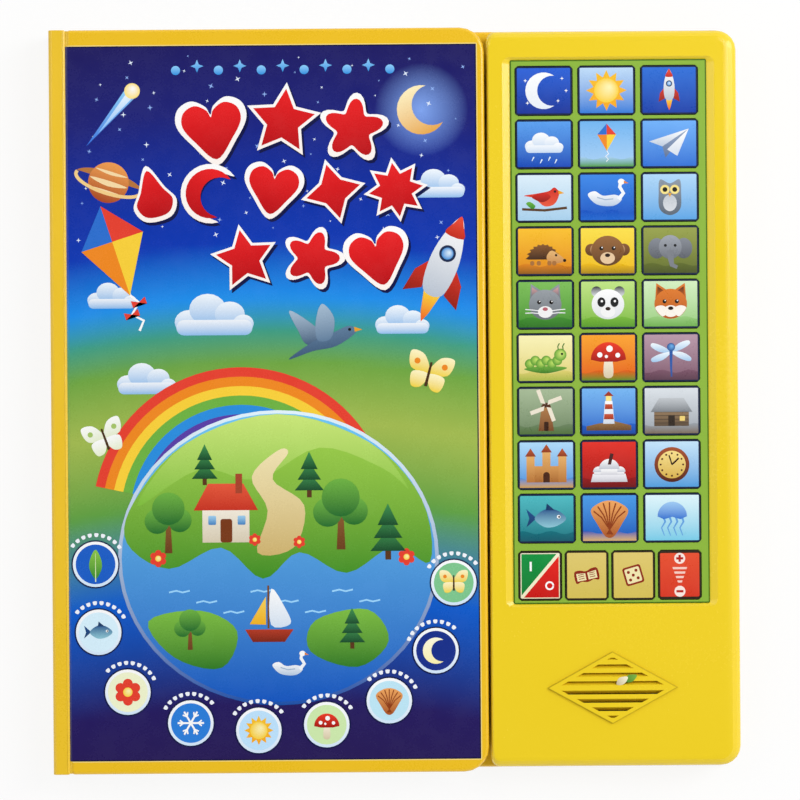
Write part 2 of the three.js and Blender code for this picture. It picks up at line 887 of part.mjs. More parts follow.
// A cell lies along Y, its raised end towards +Y before it is placed
function batteryCell() {
  const half = cellLength / 2;
  const shape = turned(
    [
      [0, -half],
      [cellRadius, -half],
      [cellRadius, half - cellNubHeight],
      [cellNubRadius, half - cellNubHeight],
      [cellNubRadius, half],
      [0, half],
    ],
    cellSteps,
  );
  return shape.rotate([-90, 0, 0]);
}

// A flat spring leaf at one end of the compartment, with a raised button for each cell it serves
function batteryContact(cellOffsets, end) {
  const wallY = end > 0 ? compartmentTopY : compartmentBottomY;
  const backY = wallY - end * seat;
  const frontY = backY - end * contactThickness;
  const buttonY = frontY - end * (cellEndRoom - contactThickness - 2 * seat);
  const reach = contactFaceWidth / 2;
  const leaf = block(
    compartmentMiddleX + Math.min(...cellOffsets) - reach,
    compartmentMiddleX + Math.max(...cellOffsets) + reach,
    Math.min(backY, frontY),
    Math.max(backY, frontY),
    cellZ - contactHeight / 2,
    cellZ + contactHeight / 2,
  );
  const length = Math.abs(buttonY - backY);
  const buttons = cellOffsets.map((offset) =>
    cylinder(0, 0, contactRadius, -length / 2, length / 2)
      .rotate([90, 0, 0])
      .translate([compartmentMiddleX + offset, (backY + buttonY) / 2, cellZ]),
  );
  return joined([leaf, ...buttons]);
}

// The door is a shallow tray with two cell ribs, two tongues at its top end and a screw land at the other
function batteryDoor() {
  const plateTop = doorRecess + doorThickness;
  const tray = block(doorLeftX, doorRightX, doorBottomY, doorTopY, doorRecess, doorTopZ);
  const hollow = block(
    doorLeftX + doorThickness,
    doorRightX - doorThickness,
    compartmentBottomY + doorThickness,
    doorTopY - doorThickness - doorOverlap,
    plateTop,
    2 * doorTopZ,
  );
  const ribs = [];
  for (let rib = 1; rib <= doorRibs; rib += 1) {
    const y = compartmentBottomY + (compartmentLength * rib) / (doorRibs + 1);
    ribs.push(
      block(
        compartmentLeftX + cellSideRoom,
        compartmentRightX - cellSideRoom,
        y - doorRibThickness / 2,
        y + doorRibThickness / 2,
        plateTop - seat,
        plateTopZ - seat,
      ),
    );
  }
  const doorwayTopY = compartmentTopY - doorLedge;
  const tongueBottomZ = plateTopZ + seat;
  const tongueTopZ = tongueBottomZ + doorTongueThickness;
  const tongues = [-1, 1].flatMap((side) => {
    const x = compartmentMiddleX + side * doorTongueFromMiddle;
    const xMin = x - doorTongueWidth / 2;
    const xMax = x + doorTongueWidth / 2;
    const stemBackY = doorwayTopY - seat;
    const stemFrontY = stemBackY - doorTongueStem;
    const tipY = doorwayTopY + doorLedge / 2;
    return [
      block(xMin, xMax, stemFrontY, stemBackY, plateTop, tongueTopZ),
      block(xMin, xMax, stemFrontY, tipY, tongueBottomZ, tongueTopZ),
    ];
  });
  const headRoom = cylinder(
    compartmentMiddleX,
    doorScrewY,
    screwHeadRadius + seat,
    doorRecess - seat,
    doorRecess + screwHeadHeight,
  );
  const bore = cylinder(compartmentMiddleX, doorScrewY, screwRadius + seat, 0, 2 * doorTopZ);
  return joined([tray.subtract(hollow), ...ribs, ...tongues])
    .subtract(headRoom)
    .subtract(bore);
}

// A pan head screw that stands on its head at the origin
function screw() {
  return turned(
    [
      [0, 0],
      [screwHeadFaceRadius, 0],
      [screwHeadRadius, screwHeadHeight / 2],
      [screwHeadRadius, screwHeadHeight - seat],
      [screwRadius, screwHeadHeight - seat],
      [screwRadius, screwLength],
      [0, screwLength],
    ],
    smallRoundSteps,
  );
}

const book = new THREE.Group();

function place(name, shape, material, [x, y, z] = [0, 0, 0]) {
  const mesh = new THREE.Mesh(geometryOf(shape), material.clone());
  mesh.name = name;
  mesh.position.set(x, y, z);
  book.add(mesh);
  return mesh;
}

const keys = keyList();

place('front_cover', frontCover(), yellowBoard);
place('spine_cover', spineCover(), yellowStrip);
place('back_cover', backCover(), yellowBoard);
place('page_block', pageBlock(), whitePages);
place('upper_housing', upperHousing(keys), yellowHousing);
place('lower_housing', lowerHousing(), yellowHousing);
place('keypad_label', keypadLabel(keys), greenFilm);
for (const key of keys) {
  place(key.name, keyCap(key), keyMaterial(key.name), [key.x, key.y, 0]);
}
place('rubber_keypad', rubberKeypad(keys), greyRubber);
place('circuit_board', circuitBoard(), boardGreen);
place('sound_chip', soundChip(), blackPlastic);
place('speaker_basket', speakerBasket(), steel);
place('speaker_cone', speakerCone(), paperCone);
place('speaker_magnet', speakerMagnet(), magnetGrey);

for (const [number, side] of [[1, -1], [2, 1]]) {
  const cell = place(`battery_${number}`, batteryCell(), cellJacket, [
    compartmentMiddleX + (side * cellPitch) / 2,
    cellMiddleY,
    cellZ,
  ]);
  if (side > 0) cell.rotation.z = Math.PI;
}
place('battery_bridge_contact', batteryContact([-cellPitch / 2, cellPitch / 2], 1), steel);
place('battery_left_contact', batteryContact([-cellPitch / 2], -1), steel);
place('battery_right_contact', batteryContact([cellPitch / 2], -1), steel);
place('battery_door', batteryDoor(), yellowHousing);
place('battery_door_screw', screw(), steel, [compartmentMiddleX, doorScrewY, doorRecess]);
screwPlaces.forEach(([x, y], order) => {
  place(`case_screw_${order + 1}`, screw(), steel, [x, y, plateBottomZ + seat]);
});

export default book;
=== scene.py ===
# A children's sound book seen from straight above: a printed board book with a yellow sound module
# down its right side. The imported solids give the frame, and each section below dresses one piece.
import math

import bmesh
import bpy
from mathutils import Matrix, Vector
from mathutils.geometry import tessellate_polygon


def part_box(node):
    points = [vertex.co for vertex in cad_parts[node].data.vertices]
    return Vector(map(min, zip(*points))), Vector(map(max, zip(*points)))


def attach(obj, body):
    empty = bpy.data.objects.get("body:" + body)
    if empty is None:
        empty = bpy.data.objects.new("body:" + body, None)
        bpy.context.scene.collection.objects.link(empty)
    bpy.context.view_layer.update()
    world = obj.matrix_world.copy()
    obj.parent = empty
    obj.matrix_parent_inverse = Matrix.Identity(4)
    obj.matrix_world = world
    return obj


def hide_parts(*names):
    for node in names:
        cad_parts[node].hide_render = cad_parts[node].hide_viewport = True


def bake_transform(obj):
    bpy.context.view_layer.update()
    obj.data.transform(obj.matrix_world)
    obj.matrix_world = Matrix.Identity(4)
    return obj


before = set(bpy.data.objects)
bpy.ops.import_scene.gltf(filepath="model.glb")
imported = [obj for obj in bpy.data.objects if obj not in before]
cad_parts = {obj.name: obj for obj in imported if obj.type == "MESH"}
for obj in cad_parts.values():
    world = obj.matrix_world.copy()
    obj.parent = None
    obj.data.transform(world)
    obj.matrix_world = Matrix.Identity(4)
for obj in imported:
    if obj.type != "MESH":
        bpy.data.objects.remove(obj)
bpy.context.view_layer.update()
MM = 0.001


# Camera
# The book lies on a pale floor and is seen from straight above, a hair off square to the frame.
CAMERA_HEIGHT = 1407 * MM
CAMERA_X = 1.55 * MM
CAMERA_TURN = -0.0075
CAMERA_LENS = 163
CAMERA_SENSOR = 36
CAMERA_REACH = 20


def put_in_scene(name, data):
    item = bpy.data.objects.new(name, data)
    bpy.context.scene.collection.objects.link(item)
    return item


camera_data = bpy.data.cameras.new("camera")
camera_data.lens = CAMERA_LENS
camera_data.sensor_width = CAMERA_SENSOR
camera_data.clip_end = CAMERA_REACH
camera = put_in_scene("camera", camera_data)
camera.location = (CAMERA_X, 0, CAMERA_HEIGHT)
camera.rotation_euler = (0, 0, CAMERA_TURN)
bpy.context.scene.camera = camera


# Light
# A tall soft box at the right, a weak one at the upper left, and a pale room that is dim overhead,
# where the camera hangs, so that flat glossy print stays dark and only tilted faces shine.
KEY_LAMP = {"place": (1.0, 0.45, 1.2), "width": 0.6, "height": 1.3, "power": 14.5}
FILL_LAMP = {"place": (-0.9, 0.5, 1.5), "width": 0.8, "height": 0.8, "power": 3}
ROOM_STRENGTH = 0.8
OVERHEAD_SHARE = 0.06
OVERHEAD_START, OVERHEAD_FULL = 0.72, 0.95


def soft_box(name, place, width, height, power):
    data = bpy.data.lights.new(name, "AREA")
    data.shape = "RECTANGLE"
    data.size = width
    data.size_y = height
    data.energy = power
    lamp = put_in_scene(name, data)
    lamp.location = place
    lamp.rotation_euler = (-Vector(place)).to_track_quat("-Z", "Y").to_euler()


soft_box("key_lamp", **KEY_LAMP)
soft_box("fill_lamp", **FILL_LAMP)


def add_node(tree, kind, inputs=None, **settings):
    """A new node with its settings. An input takes a value or a link from another node's output."""
    node = tree.nodes.new(kind)
    for setting, value in settings.items():
        setattr(node, setting, value)
    for socket, value in (inputs or {}).items():
        if isinstance(value, bpy.types.NodeSocket):
            tree.links.new(value, node.inputs[socket])
        else:
            node.inputs[socket].default_value = value
    return node


def reckon(tree, operation, *values):
    """One Math node fed with numbers and with other nodes' outputs."""
    return add_node(tree, "ShaderNodeMath", dict(enumerate(values)), operation=operation).outputs[0]


def pale_room():
    room = bpy.data.worlds.new("pale_room")
    room.use_nodes = True
    tree = room.node_tree
    direction = add_node(tree, "ShaderNodeTexCoord").outputs["Generated"]
    height = add_node(tree, "ShaderNodeSeparateXYZ", {0: direction}).outputs["Z"]
    limits = {"Value": height, "From Min": OVERHEAD_START, "From Max": OVERHEAD_FULL}
    limits.update({"To Min": ROOM_STRENGTH, "To Max": ROOM_STRENGTH * OVERHEAD_SHARE})
    overhead = add_node(tree, "ShaderNodeMapRange", limits, interpolation_type="SMOOTHSTEP")
    background = tree.nodes["Background"]
    background.inputs["Color"].default_value = (1, 1, 1, 1)
    tree.links.new(overhead.outputs["Result"], background.inputs["Strength"])
    return room


bpy.context.scene.world = pale_room()
bpy.context.scene.view_settings.view_transform = "Standard"


# Floor
# A white table top. The camera sees it mostly as plain white, with a trace of the book's shadow.
FLOOR_SIZE = 8
FLOOR_SHADE = 0.13
FLOOR_WHITE = (0.92, 0.92, 0.92, 1)
FLOOR_DROP = 0.2 * MM


def floor_material():
    material = bpy.data.materials.new("white_table")
    material.use_nodes = True
    tree = material.node_tree
    tree.nodes.clear()
    diffuse = add_node(tree, "ShaderNodeBsdfDiffuse", {"Color": FLOOR_WHITE})
    white = add_node(tree, "ShaderNodeEmission")
    path = add_node(tree, "ShaderNodeLightPath").outputs
    seen = reckon(tree, "MAXIMUM", path["Is Camera Ray"], path["Is Glossy Ray"])
    share = reckon(tree, "MULTIPLY", seen, 1 - FLOOR_SHADE)
    mix = add_node(tree, "ShaderNodeMixShader", {0: share, 1: diffuse.outputs[0], 2: white.outputs[0]})
    add_node(tree, "ShaderNodeOutputMaterial", {"Surface": mix.outputs[0]})
    return material


floor_mesh = bpy.data.meshes.new("floor")
half = FLOOR_SIZE / 2
floor_corners = [(-half, -half, 0), (half, -half, 0), (half, half, 0), (-half, half, 0)]
floor_mesh.from_pydata(floor_corners, [], [(0, 1, 2, 3)])
floor_mesh.materials.append(floor_material())
floor = put_in_scene("floor", floor_mesh)
floor.location.z = -FLOOR_DROP


# Printed boards
# Greyboard wrapped in one laminated, printed sheet that is glued on and joins the front cover, the spine
# wall with its strip and the back board. The yellow is printed too. The wrap turns over every edge, so the
# edges are round.
BOARD_YELLOW = "f0c11f"
STRIP_YELLOW = "f0c52a"
BOARD_BEVEL = 0.25
ROUGHNESS_SWING = 0.3
GRAIN_SHARE = 0.35
RELIEF_STRENGTH = 0.5
MERGE_REACH = 0.002
FLAT_ANGLE = 0.4
EASED_ANGLE = 15


def linear(code):
    channels = [int(code[i : i + 2], 16) / 255 for i in (0, 2, 4)]
    return [c / 12.92 if c <= 0.04045 else ((c + 0.055) / 1.055) ** 2.4 for c in channels] + [1.0]


def variation_group():
    """Colour, roughness and height that wander a little over a surface."""
    tree = bpy.data.node_groups.new("surface_variation", "ShaderNodeTree")
    for name, kind, value in [
        ("Color", "Color", (0.8, 0.8, 0.8, 1)),
        ("Shade", "Float", 0.05),
        ("Roughness", "Float", 0.4),
        ("Patch Scale", "Float", 30),
        ("Grain Scale", "Float", 1500),
    ]:
        socket = tree.interface.new_socket(name, in_out="INPUT", socket_type="NodeSocket" + kind)
        socket.default_value = value
    for name, kind in [("Color", "Color"), ("Roughness", "Float"), ("Height", "Float")]:
        tree.interface.new_socket(name, in_out="OUTPUT", socket_type="NodeSocket" + kind)
    source = add_node(tree, "NodeGroupInput").outputs
    place = add_node(tree, "ShaderNodeTexCoord").outputs["Object"]
    noises = []
    for scale, detail in [("Patch Scale", 3), ("Grain Scale", 2)]:
        inputs = {"Vector": place, "Scale": source[scale], "Detail": detail}
        noises.append(add_node(tree, "ShaderNodeTexNoise", inputs).outputs["Fac"])
    patches, grain = noises
    both = add_node(tree, "ShaderNodeMix", {"Factor": GRAIN_SHARE, "A": patches, "B": grain})
    centred = reckon(tree, "SUBTRACT", both.outputs["Result"], 0.5)
    amount = reckon(tree, "MULTIPLY_ADD", centred, source["Shade"], 1)
    inputs = {0: source["Color"], "Scale": amount}
    shaded = add_node(tree, "ShaderNodeVectorMath", inputs, operation="SCALE")
    rough = reckon(tree, "MULTIPLY_ADD", centred, ROUGHNESS_SWING, source["Roughness"])
    add_node(tree, "NodeGroupOutput", {"Color": shaded.outputs[0], "Roughness": rough, "Height": grain})
    return tree


SURFACE_VARIATION = variation_group()


def finish(name, colour, roughness, shade=0.08, patches=30, grain=1500, relief=0.004, **sockets):
    """A material whose colour is one tone that wanders a little, or a mesh attribute's name."""
    material = bpy.data.materials.new(name)
    material.use_nodes = True
    tree = material.node_tree
    inputs = {"Shade": shade, "Roughness": roughness, "Patch Scale": patches, "Grain Scale": grain}
    if colour == "ink":
        inputs["Color"] = add_node(tree, "ShaderNodeAttribute", attribute_name="ink").outputs["Color"]
    else:
        inputs["Color"] = linear(colour)
    varied = add_node(tree, "ShaderNodeGroup", inputs, node_tree=SURFACE_VARIATION).outputs
    heights = {"Strength": RELIEF_STRENGTH, "Distance": relief * MM, "Height": varied["Height"]}
    bump = add_node(tree, "ShaderNodeBump", heights)
    shader = tree.nodes["Principled BSDF"]
    tree.links.new(bump.outputs["Normal"], shader.inputs["Normal"])
    tree.links.new(varied["Color"], shader.inputs["Base Color"])
    tree.links.new(varied["Roughness"], shader.inputs["Roughness"])
    for socket, value in sockets.items():
        shader.inputs[socket.replace("_", " ")].default_value = value
    return material


def repaint(node, material):
    """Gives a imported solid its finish."""
    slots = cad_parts[node].data.materials
    slots.clear()
    slots.append(material)


def make_plain(piece):
    """Turns what the modifiers make into the piece's own mesh."""
    made = bpy.data.meshes.new_from_object(piece.evaluated_get(bpy.context.evaluated_depsgraph_get()))
    piece.modifiers.clear()
    piece.data = made


def rounded_copy(node, name, body, material, bevel, sharp=35):
    """The same solid with its sharp edges eased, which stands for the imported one."""
    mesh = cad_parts[node].data.copy()
    mesh.name = name
    shape = bmesh.new()
    shape.from_mesh(mesh)
    bmesh.ops.remove_doubles(shape, verts=shape.verts, dist=MERGE_REACH * MM)
    flat = math.radians(FLAT_ANGLE)
    bmesh.ops.dissolve_limit(shape, angle_limit=flat, verts=shape.verts, edges=shape.edges)
    shape.to_mesh(mesh)
    shape.free()
    mesh.materials.clear()
    mesh.materials.append(material)
    piece = put_in_scene(name, mesh)
    edge = piece.modifiers.new("eased", "BEVEL")
    edge.width = bevel * MM
    edge.segments = 2
    edge.limit_method = "ANGLE"
    edge.angle_limit = math.radians(EASED_ANGLE)
    edge.use_clamp_overlap = True
    edge.face_strength_mode = "FSTR_ALL"
    mesh.shade_smooth()
    mesh.set_sharp_from_angle(angle=math.radians(sharp))
    even = piece.modifiers.new("flat faces stay flat", "WEIGHTED_NORMAL")
    even.keep_sharp = True
    even.use_face_influence = True
    make_plain(piece)
    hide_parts(node)
    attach(piece, body)
    return piece


laminate = {"Coat_Weight": 0.2, "Coat_Roughness": 0.1}
yellow_wrap = finish("yellow_printed_wrap", BOARD_YELLOW, 0.28, shade=0.05, relief=0.003, **laminate)
strip_wrap = finish("strip_printed_wrap", STRIP_YELLOW, 0.3, shade=0.05, relief=0.003, **laminate)
rounded_copy("front_cover", "cover_board", "cover", yellow_wrap, BOARD_BEVEL, sharp=50)
rounded_copy("spine_cover", "spine_and_strip", "case", strip_wrap, BOARD_BEVEL, sharp=50)
rounded_copy("back_cover", "back_board", "case", yellow_wrap, BOARD_BEVEL, sharp=50)


# Cover print
# Printed on the front cover's wrap and laminated: a night sky that turns to daylight, meadow and deep blue,
# with bold red shapes across the sky, a house by a lake on a hill, toys in the air and round badges.
PRINT_LEFT, PRINT_RIGHT = -79.6, 76.95
PRINT_BOTTOM, PRINT_TOP = -137.4, 136.1
INK_STEP = 0.004
SKY_BANDS = [
    (140, "1c1760"),
    (112, "1a1f78"),
    (88, "0b2c9c"),
    (61, "0438b4"),
    (40, "1c90ee"),
    (27, "3e9e85"),
    (15, "6ea742"),
    (-8, "a4bc51"),
    (-38, "5fa143"),
    (-73, "015ccd"),
    (-115, "23175f"),
    (-140, "271955"),
]


def blend_bands(bands, height):
    for (high, above), (low, below) in zip(bands, bands[1:]):
        if height >= low:
            share = min(max((high - height) / (high - low), 0), 1)
            return [a + (b - a) * share for a, b in zip(linear(above), linear(below))]
    return linear(bands[-1][1])


def sky(x, y):
    return blend_bands(SKY_BANDS, y + 0.0012 * x**2)


def arc(x, y, radius, start, end, steps=12, flat=1.0):
    turns = [math.radians(start + (end - start) * i / steps) for i in range(steps + 1)]
    return [(x + radius * math.cos(t), y + radius * flat * math.sin(t)) for t in turns]


def circle(x, y, radius, flat=1.0, steps=28):
    return arc(x, y, radius, 0, 360 - 360 / steps, steps - 1, flat)


def spun(points, degrees, height=0):
    """An outline turned about the origin and then lifted."""
    cosine, sine = math.cos(math.radians(degrees)), math.sin(math.radians(degrees))
    return [(x * cosine - y * sine, height + x * sine + y * cosine) for x, y in points]


def rounded(left, bottom, right, top, radius):
    corners = [(right, top, 0), (left, top, 90), (left, bottom, 180), (right, bottom, 270)]
    points = []
    for x, y, start in corners:
        inward_x = -radius if x == right else radius
        inward_y = -radius if y == top else radius
        points += arc(x + inward_x, y + inward_y, radius, start, start + 90, 4)
    return points


def box(left, bottom, right, top):
    return [(left, bottom), (right, bottom), (right, top), (left, top)]


def mirrored(half):
    """An even outline from its right half, which starts and ends on the middle line or meets itself."""
    return half + [(-x, y) for x, y in reversed(half) if x != 0]


def smooth(points, steps=5):
    """A closed curve through the points."""
    curve = []
    count = len(points)
    for i in range(count):
        a, b, c, d = (points[(i + k) % count] for k in (-1, 0, 1, 2))
        for step in range(steps):
            t = step / steps
            curve.append(
                tuple(
                    0.5
                    * (
                        2 * b[k]
                        + (c[k] - a[k]) * t
                        + (2 * a[k] - 5 * b[k] + 4 * c[k] - d[k]) * t * t
                        + (3 * b[k] - a[k] - 3 * c[k] + d[k]) * t**3
                    )
                    for k in (0, 1)
                )
            )
    return curve


class Ink:
    """Areas of colour on a sheet, each a hair above the one before."""

    def __init__(self, surface_z, middle=(0, 0)):
        self.surface_z = surface_z
        self.middle = middle
        self.points = []
        self.faces = []
        self.colours = []
        self.put(0, 0)

    def put(self, x, y, size=1.0, turn=0.0, level=1):
        """Moves the pen: later shapes are drawn round this place, at this size and turn. The level is
        the count of ink steps above the sheet."""
        self.x, self.y, self.size = x, y, size
        self.turn = math.radians(turn)
        self.level = level

    def place(self, x, y):
        cosine, sine = math.cos(self.turn), math.sin(self.turn)
        return (
            self.x + self.size * (x * cosine - y * sine),
            self.y + self.size * (x * sine + y * cosine),
        )

    def add(self, points, colours, faces):
        first = len(self.points)
        height = self.surface_z + self.level * INK_STEP
        across, up = self.middle
        self.points += [((across + x) * MM, (up + y) * MM, height * MM) for x, y in points]
        self.colours += colours
        for face in faces:
            a, b, c = (points[i] for i in face[:3])
            upward = (b[0] - a[0]) * (c[1] - a[1]) - (b[1] - a[1]) * (c[0] - a[0]) > 0
            self.faces.append([first + i for i in (face if upward else face[::-1])])
        self.level += 1

    def area(self, outline, colour, top=None):
        """A filled outline in one colour, or running from colour at its foot to another at its top."""
        low = min(y for _, y in outline)
        high = max(y for _, y in outline)
        ends = linear(colour), linear(top or colour)
        points = [self.place(x, y) for x, y in outline]
        shares = [(y - low) / (high - low) for _, y in outline]
        colours = [[a + (b - a) * s for a, b in zip(*ends)] for s in shares]
        faces = tessellate_polygon([[Vector((x, y, 0)) for x, y in points]])
        self.add(points, colours, [list(face) for face in faces])

    def ball(self, x, y, radius, middle, rim, flat=1.0, light=(0.25, 0.3)):
        """A disc shaded like a ball, lit from its upper right."""
        steps = 28
        centre = (x + light[0] * radius, y + light[1] * radius * flat)
        outline = [centre] + circle(x, y, radius, flat, steps)
        points = [self.place(px, py) for px, py in outline]
        colours = [linear(middle)] + [rim(*p) if callable(rim) else linear(rim) for p in points[1:]]
        self.add(points, colours, [[0, i + 1, (i + 1) % steps + 1] for i in range(steps)])

    def line(self, path, width, colour, tip=1.0):
        """A stroke of even width, or one that narrows to tip times its width."""
        left, right = [], []
        for i, (x, y) in enumerate(path):
            ax, ay = path[max(i - 1, 0)]
            bx, by = path[min(i + 1, len(path) - 1)]
            length = math.hypot(bx - ax, by - ay)
            reach = width / 2 * (1 + (tip - 1) * i / (len(path) - 1))
            nx, ny = -(by - ay) / length * reach, (bx - ax) / length * reach
            left.append((x + nx, y + ny))
            right.append((x - nx, y - ny))
        count = len(path)
        points = [self.place(*point) for point in left + right]
        faces = []
        for i in range(count - 1):
            faces += [[i, i + 1, count + i], [i + 1, count + i + 1, count + i]]
        self.add(points, [linear(colour)] * len(points), faces)

    def field(self, left, bottom, right, top, across, up, colour):
        """A grid whose colour follows a rule of place."""
        points = [
            (left + (right - left) * i / across, bottom + (top - bottom) * j / up)
            for j in range(up + 1)
            for i in range(across + 1)
        ]
        row = across + 1
        faces = [
            [j * row + i, j * row + i + 1, (j + 1) * row + i + 1, (j + 1) * row + i]
            for j in range(up)
            for i in range(across)
        ]
        self.add([self.place(*p) for p in points], [colour(*p) for p in points], faces)

    def object(self, name, material):
        mesh = bpy.data.meshes.new(name)
        mesh.from_pydata(self.points, [], self.faces)
        attribute = mesh.color_attributes.new("ink", "FLOAT_COLOR", "POINT")
        attribute.data.foreach_set("color", [value for colour in self.colours for value in colour])
        mesh.materials.append(material)
        return put_in_scene(name, mesh)

    def sheet(self, name, body, material):
        piece = self.object(name, material)
        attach(piece, body)
        return piece


def star(points=5, inner=0.45, turn=90):
    outline = []
    for i in range(points * 2):
        radius = inner if i % 2 else 1
        angle = math.radians(turn + i * 180 / points)
        outline.append((radius * math.cos(angle), radius * math.sin(angle)))
    return outline


HEART = mirrored([(0, -1), (0.62, -0.36), (0.98, 0.2), (0.9, 0.66), (0.5, 0.86), (0.12, 0.66), (0, 0.42)])


def moon(ink, colour="fdf3b0", top="fffbe0"):
    ink.area(arc(0, 0, 0.9, 55, 305, 18) + arc(0.42, 0, 0.74, 275, 85, 14), colour, top)


def sun(ink, rays=12):
    ink.area(star(rays, 0.66), "f7a81b", "fbc52e")
    ink.ball(0, 0, 0.6, "fff6b8", "fbd23a")


def cloud(ink, foot="c9dcf2", top="ffffff"):
    puffs = [(-0.6, -0.1, 0.34), (-0.15, 0.2, 0.44), (0.38, 0.08, 0.36), (0.7, -0.14, 0.25)]
    for x, y, radius in puffs:
        ink.area(circle(x, y, radius, 0.85, 20), foot, top)
    ink.area(rounded(-0.9, -0.42, 0.92, -0.05, 0.18), foot, "f4f8fd")


def leaf(ink, low="2f8a2e", high="8fc94a"):
    ink.area(smooth(mirrored([(0, -1), (0.42, -0.3), (0.36, 0.4), (0, 1)])), low, high)
    ink.line([(0, -1.2), (0, -0.3), (0, 0.75)], 0.07, "e2f0c0", 0.3)


def flower(ink, petal="e8412f", middle="fbd23a", petals=6):
    for i in range(petals):
        turn = math.radians(i * 360 / petals + 90)
        ink.area(circle(0.58 * math.cos(turn), 0.58 * math.sin(turn), 0.34, 1, 16), petal)
    ink.ball(0, 0, 0.32, "fff6b8", middle)


def tree(ink, low="1f6b2c", high="6fb443"):
    ink.area([(-0.12, -1), (0.12, -1), (0.07, 0), (-0.07, 0)], "6b3f1c", "8a5a2b")
    for x, y, radius in [(-0.36, 0.02, 0.4), (0.36, 0.05, 0.38), (0, 0.42, 0.52)]:
        ink.area(circle(x, y, radius, 1, 20), low, high)


def fir(ink, low="154a2a", high="3f9150"):
    ink.area(box(-0.1, -1, 0.1, -0.6), "5b361a")
    for y, reach in [(-0.7, 0.62), (-0.25, 0.5), (0.2, 0.36)]:
        ink.area([(-reach, y), (reach, y), (0, y + 0.75)], low, high)


def house(ink, wall="f6efe0", roof="c8321f", door="7a3a18"):
    ink.area(box(-0.6, -0.8, 0.6, 0.1), "d9cdb4", wall)
    ink.area([(-0.82, 0.02), (0.82, 0.02), (0.45, 0.7), (-0.45, 0.7)], roof, "e8583a")
    ink.area(box(0.25, 0.45, 0.42, 0.95), "a8452c")
    ink.area(rounded(-0.14, -0.8, 0.16, -0.2, 0.06), door)
    for x in (-0.45, 0.3):
        ink.area(rounded(x, -0.35, x + 0.2, -0.12, 0.03), "3d7fc0", "9fd0f0")


def boat(ink, sail="ffffff", hull="b53a22"):
    ink.area([(-0.75, -0.45), (0.8, -0.45), (0.52, -0.85), (-0.5, -0.85)], "7c2413", hull)
    ink.area(box(-0.03, -0.42, 0.03, 0.95), "7a4a22")
    ink.area(smooth([(0.08, -0.3), (0.7, -0.28), (0.55, 0.2), (0.1, 0.85)], 4), "d6e4f4", sail)
    ink.area([(-0.08, -0.3), (-0.6, -0.28), (-0.08, 0.6)], "f2b21c", "fbd75a")


def kite(ink, colours=("e8412f", "fbd23a", "f28a1e", "2a6fd0")):
    quarters = mirrored([(0, 1.0), (0.62, 0.28), (0, -0.8)])
    for i, colour in enumerate(colours):
        ink.area([(0, 0.28), quarters[i], quarters[(i + 1) % 4]], colour)
    tail = [(0, -0.8), (0.12, -0.98), (-0.08, -1.16), (0.1, -1.34), (-0.04, -1.5)]
    ink.line(tail, 0.05, "ffffff")
    for x, y in tail[1:4]:
        outline = [(x - 0.14, y + 0.07), (x + 0.14, y - 0.07), (x + 0.14, y + 0.07)]
        outline += [(x - 0.14, y - 0.07)]
        ink.area(outline, "e8412f")


def rocket(ink, skin="ffffff"):
    ink.area([(-0.18, -0.62), (0.18, -0.62), (0.08, -1.05), (0, -1.25), (-0.08, -1.05)], "f04a1c", "fbd23a")
    ink.area([(-0.24, -0.6), (-0.58, -0.78), (-0.5, -0.3), (-0.26, 0.0)], "8f1c12", "d8321f")
    ink.area([(0.24, -0.6), (0.58, -0.78), (0.5, -0.3), (0.26, 0.0)], "8f1c12", "d8321f")
    outline = [(-0.2, -0.62), (0.2, -0.62), (0.3, 0), (0.2, 0.6), (0, 1), (-0.2, 0.6), (-0.3, 0)]
    ink.area(smooth(outline), "b8c2d0", skin)
    ink.area(smooth([(-0.2, 0.6), (0.2, 0.6), (0.1, 0.85), (0, 1.02), (-0.1, 0.85)], 3), "c22a18", "f0503a")
    ink.area(circle(0, 0.22, 0.17), "1c2c50")
    ink.ball(0, 0.22, 0.12, "dff2ff", "3d8fd8")


def flying_bird(ink, body="5f7d9c", wing="3c5878", edge="a8bfd4"):
    ink.area(smooth([(0.1, 0.05), (-0.2, 0.5), (-0.75, 0.95), (-0.6, 0.4), (-0.42, 0.02)]), wing, edge)
    outline = [(-0.95, -0.28), (-0.3, -0.16), (0.3, -0.12), (0.85, 0.16), (0.7, 0.34), (0.3, 0.24)]
    outline += [(-0.3, 0.06)]
    ink.area(smooth(outline), wing, body)
    ink.area(smooth([(0.2, 0.1), (0.35, 0.6), (0.1, 1), (-0.12, 0.6), (-0.15, 0.1)]), body, edge)
    ink.area([(0.82, 0.3), (1.02, 0.2), (0.82, 0.17)], "e8a32a")
    ink.area(circle(0.7, 0.25, 0.04, 1, 10), "101418")


def swan(ink):
    outline = [(-0.95, 0.12), (-0.5, -0.35), (0.3, -0.42), (0.72, -0.1), (0.4, 0.12), (-0.2, 0.08)]
    outline += [(-0.6, 0.3)]
    ink.area(smooth(outline), "b7cbe2", "ffffff")
    ink.line([(0.55, -0.1), (0.8, 0.2), (0.62, 0.5), (0.66, 0.72)], 0.2, "f4f8fd", 0.8)
    ink.area(circle(0.7, 0.76, 0.17, 0.85, 16), "ffffff")
    ink.area([(0.82, 0.82), (1.06, 0.68), (0.82, 0.68)], "e8862a")
    ink.line([(-0.5, 0.0), (-0.1, -0.12), (0.3, -0.08)], 0.05, "9cb4d0")


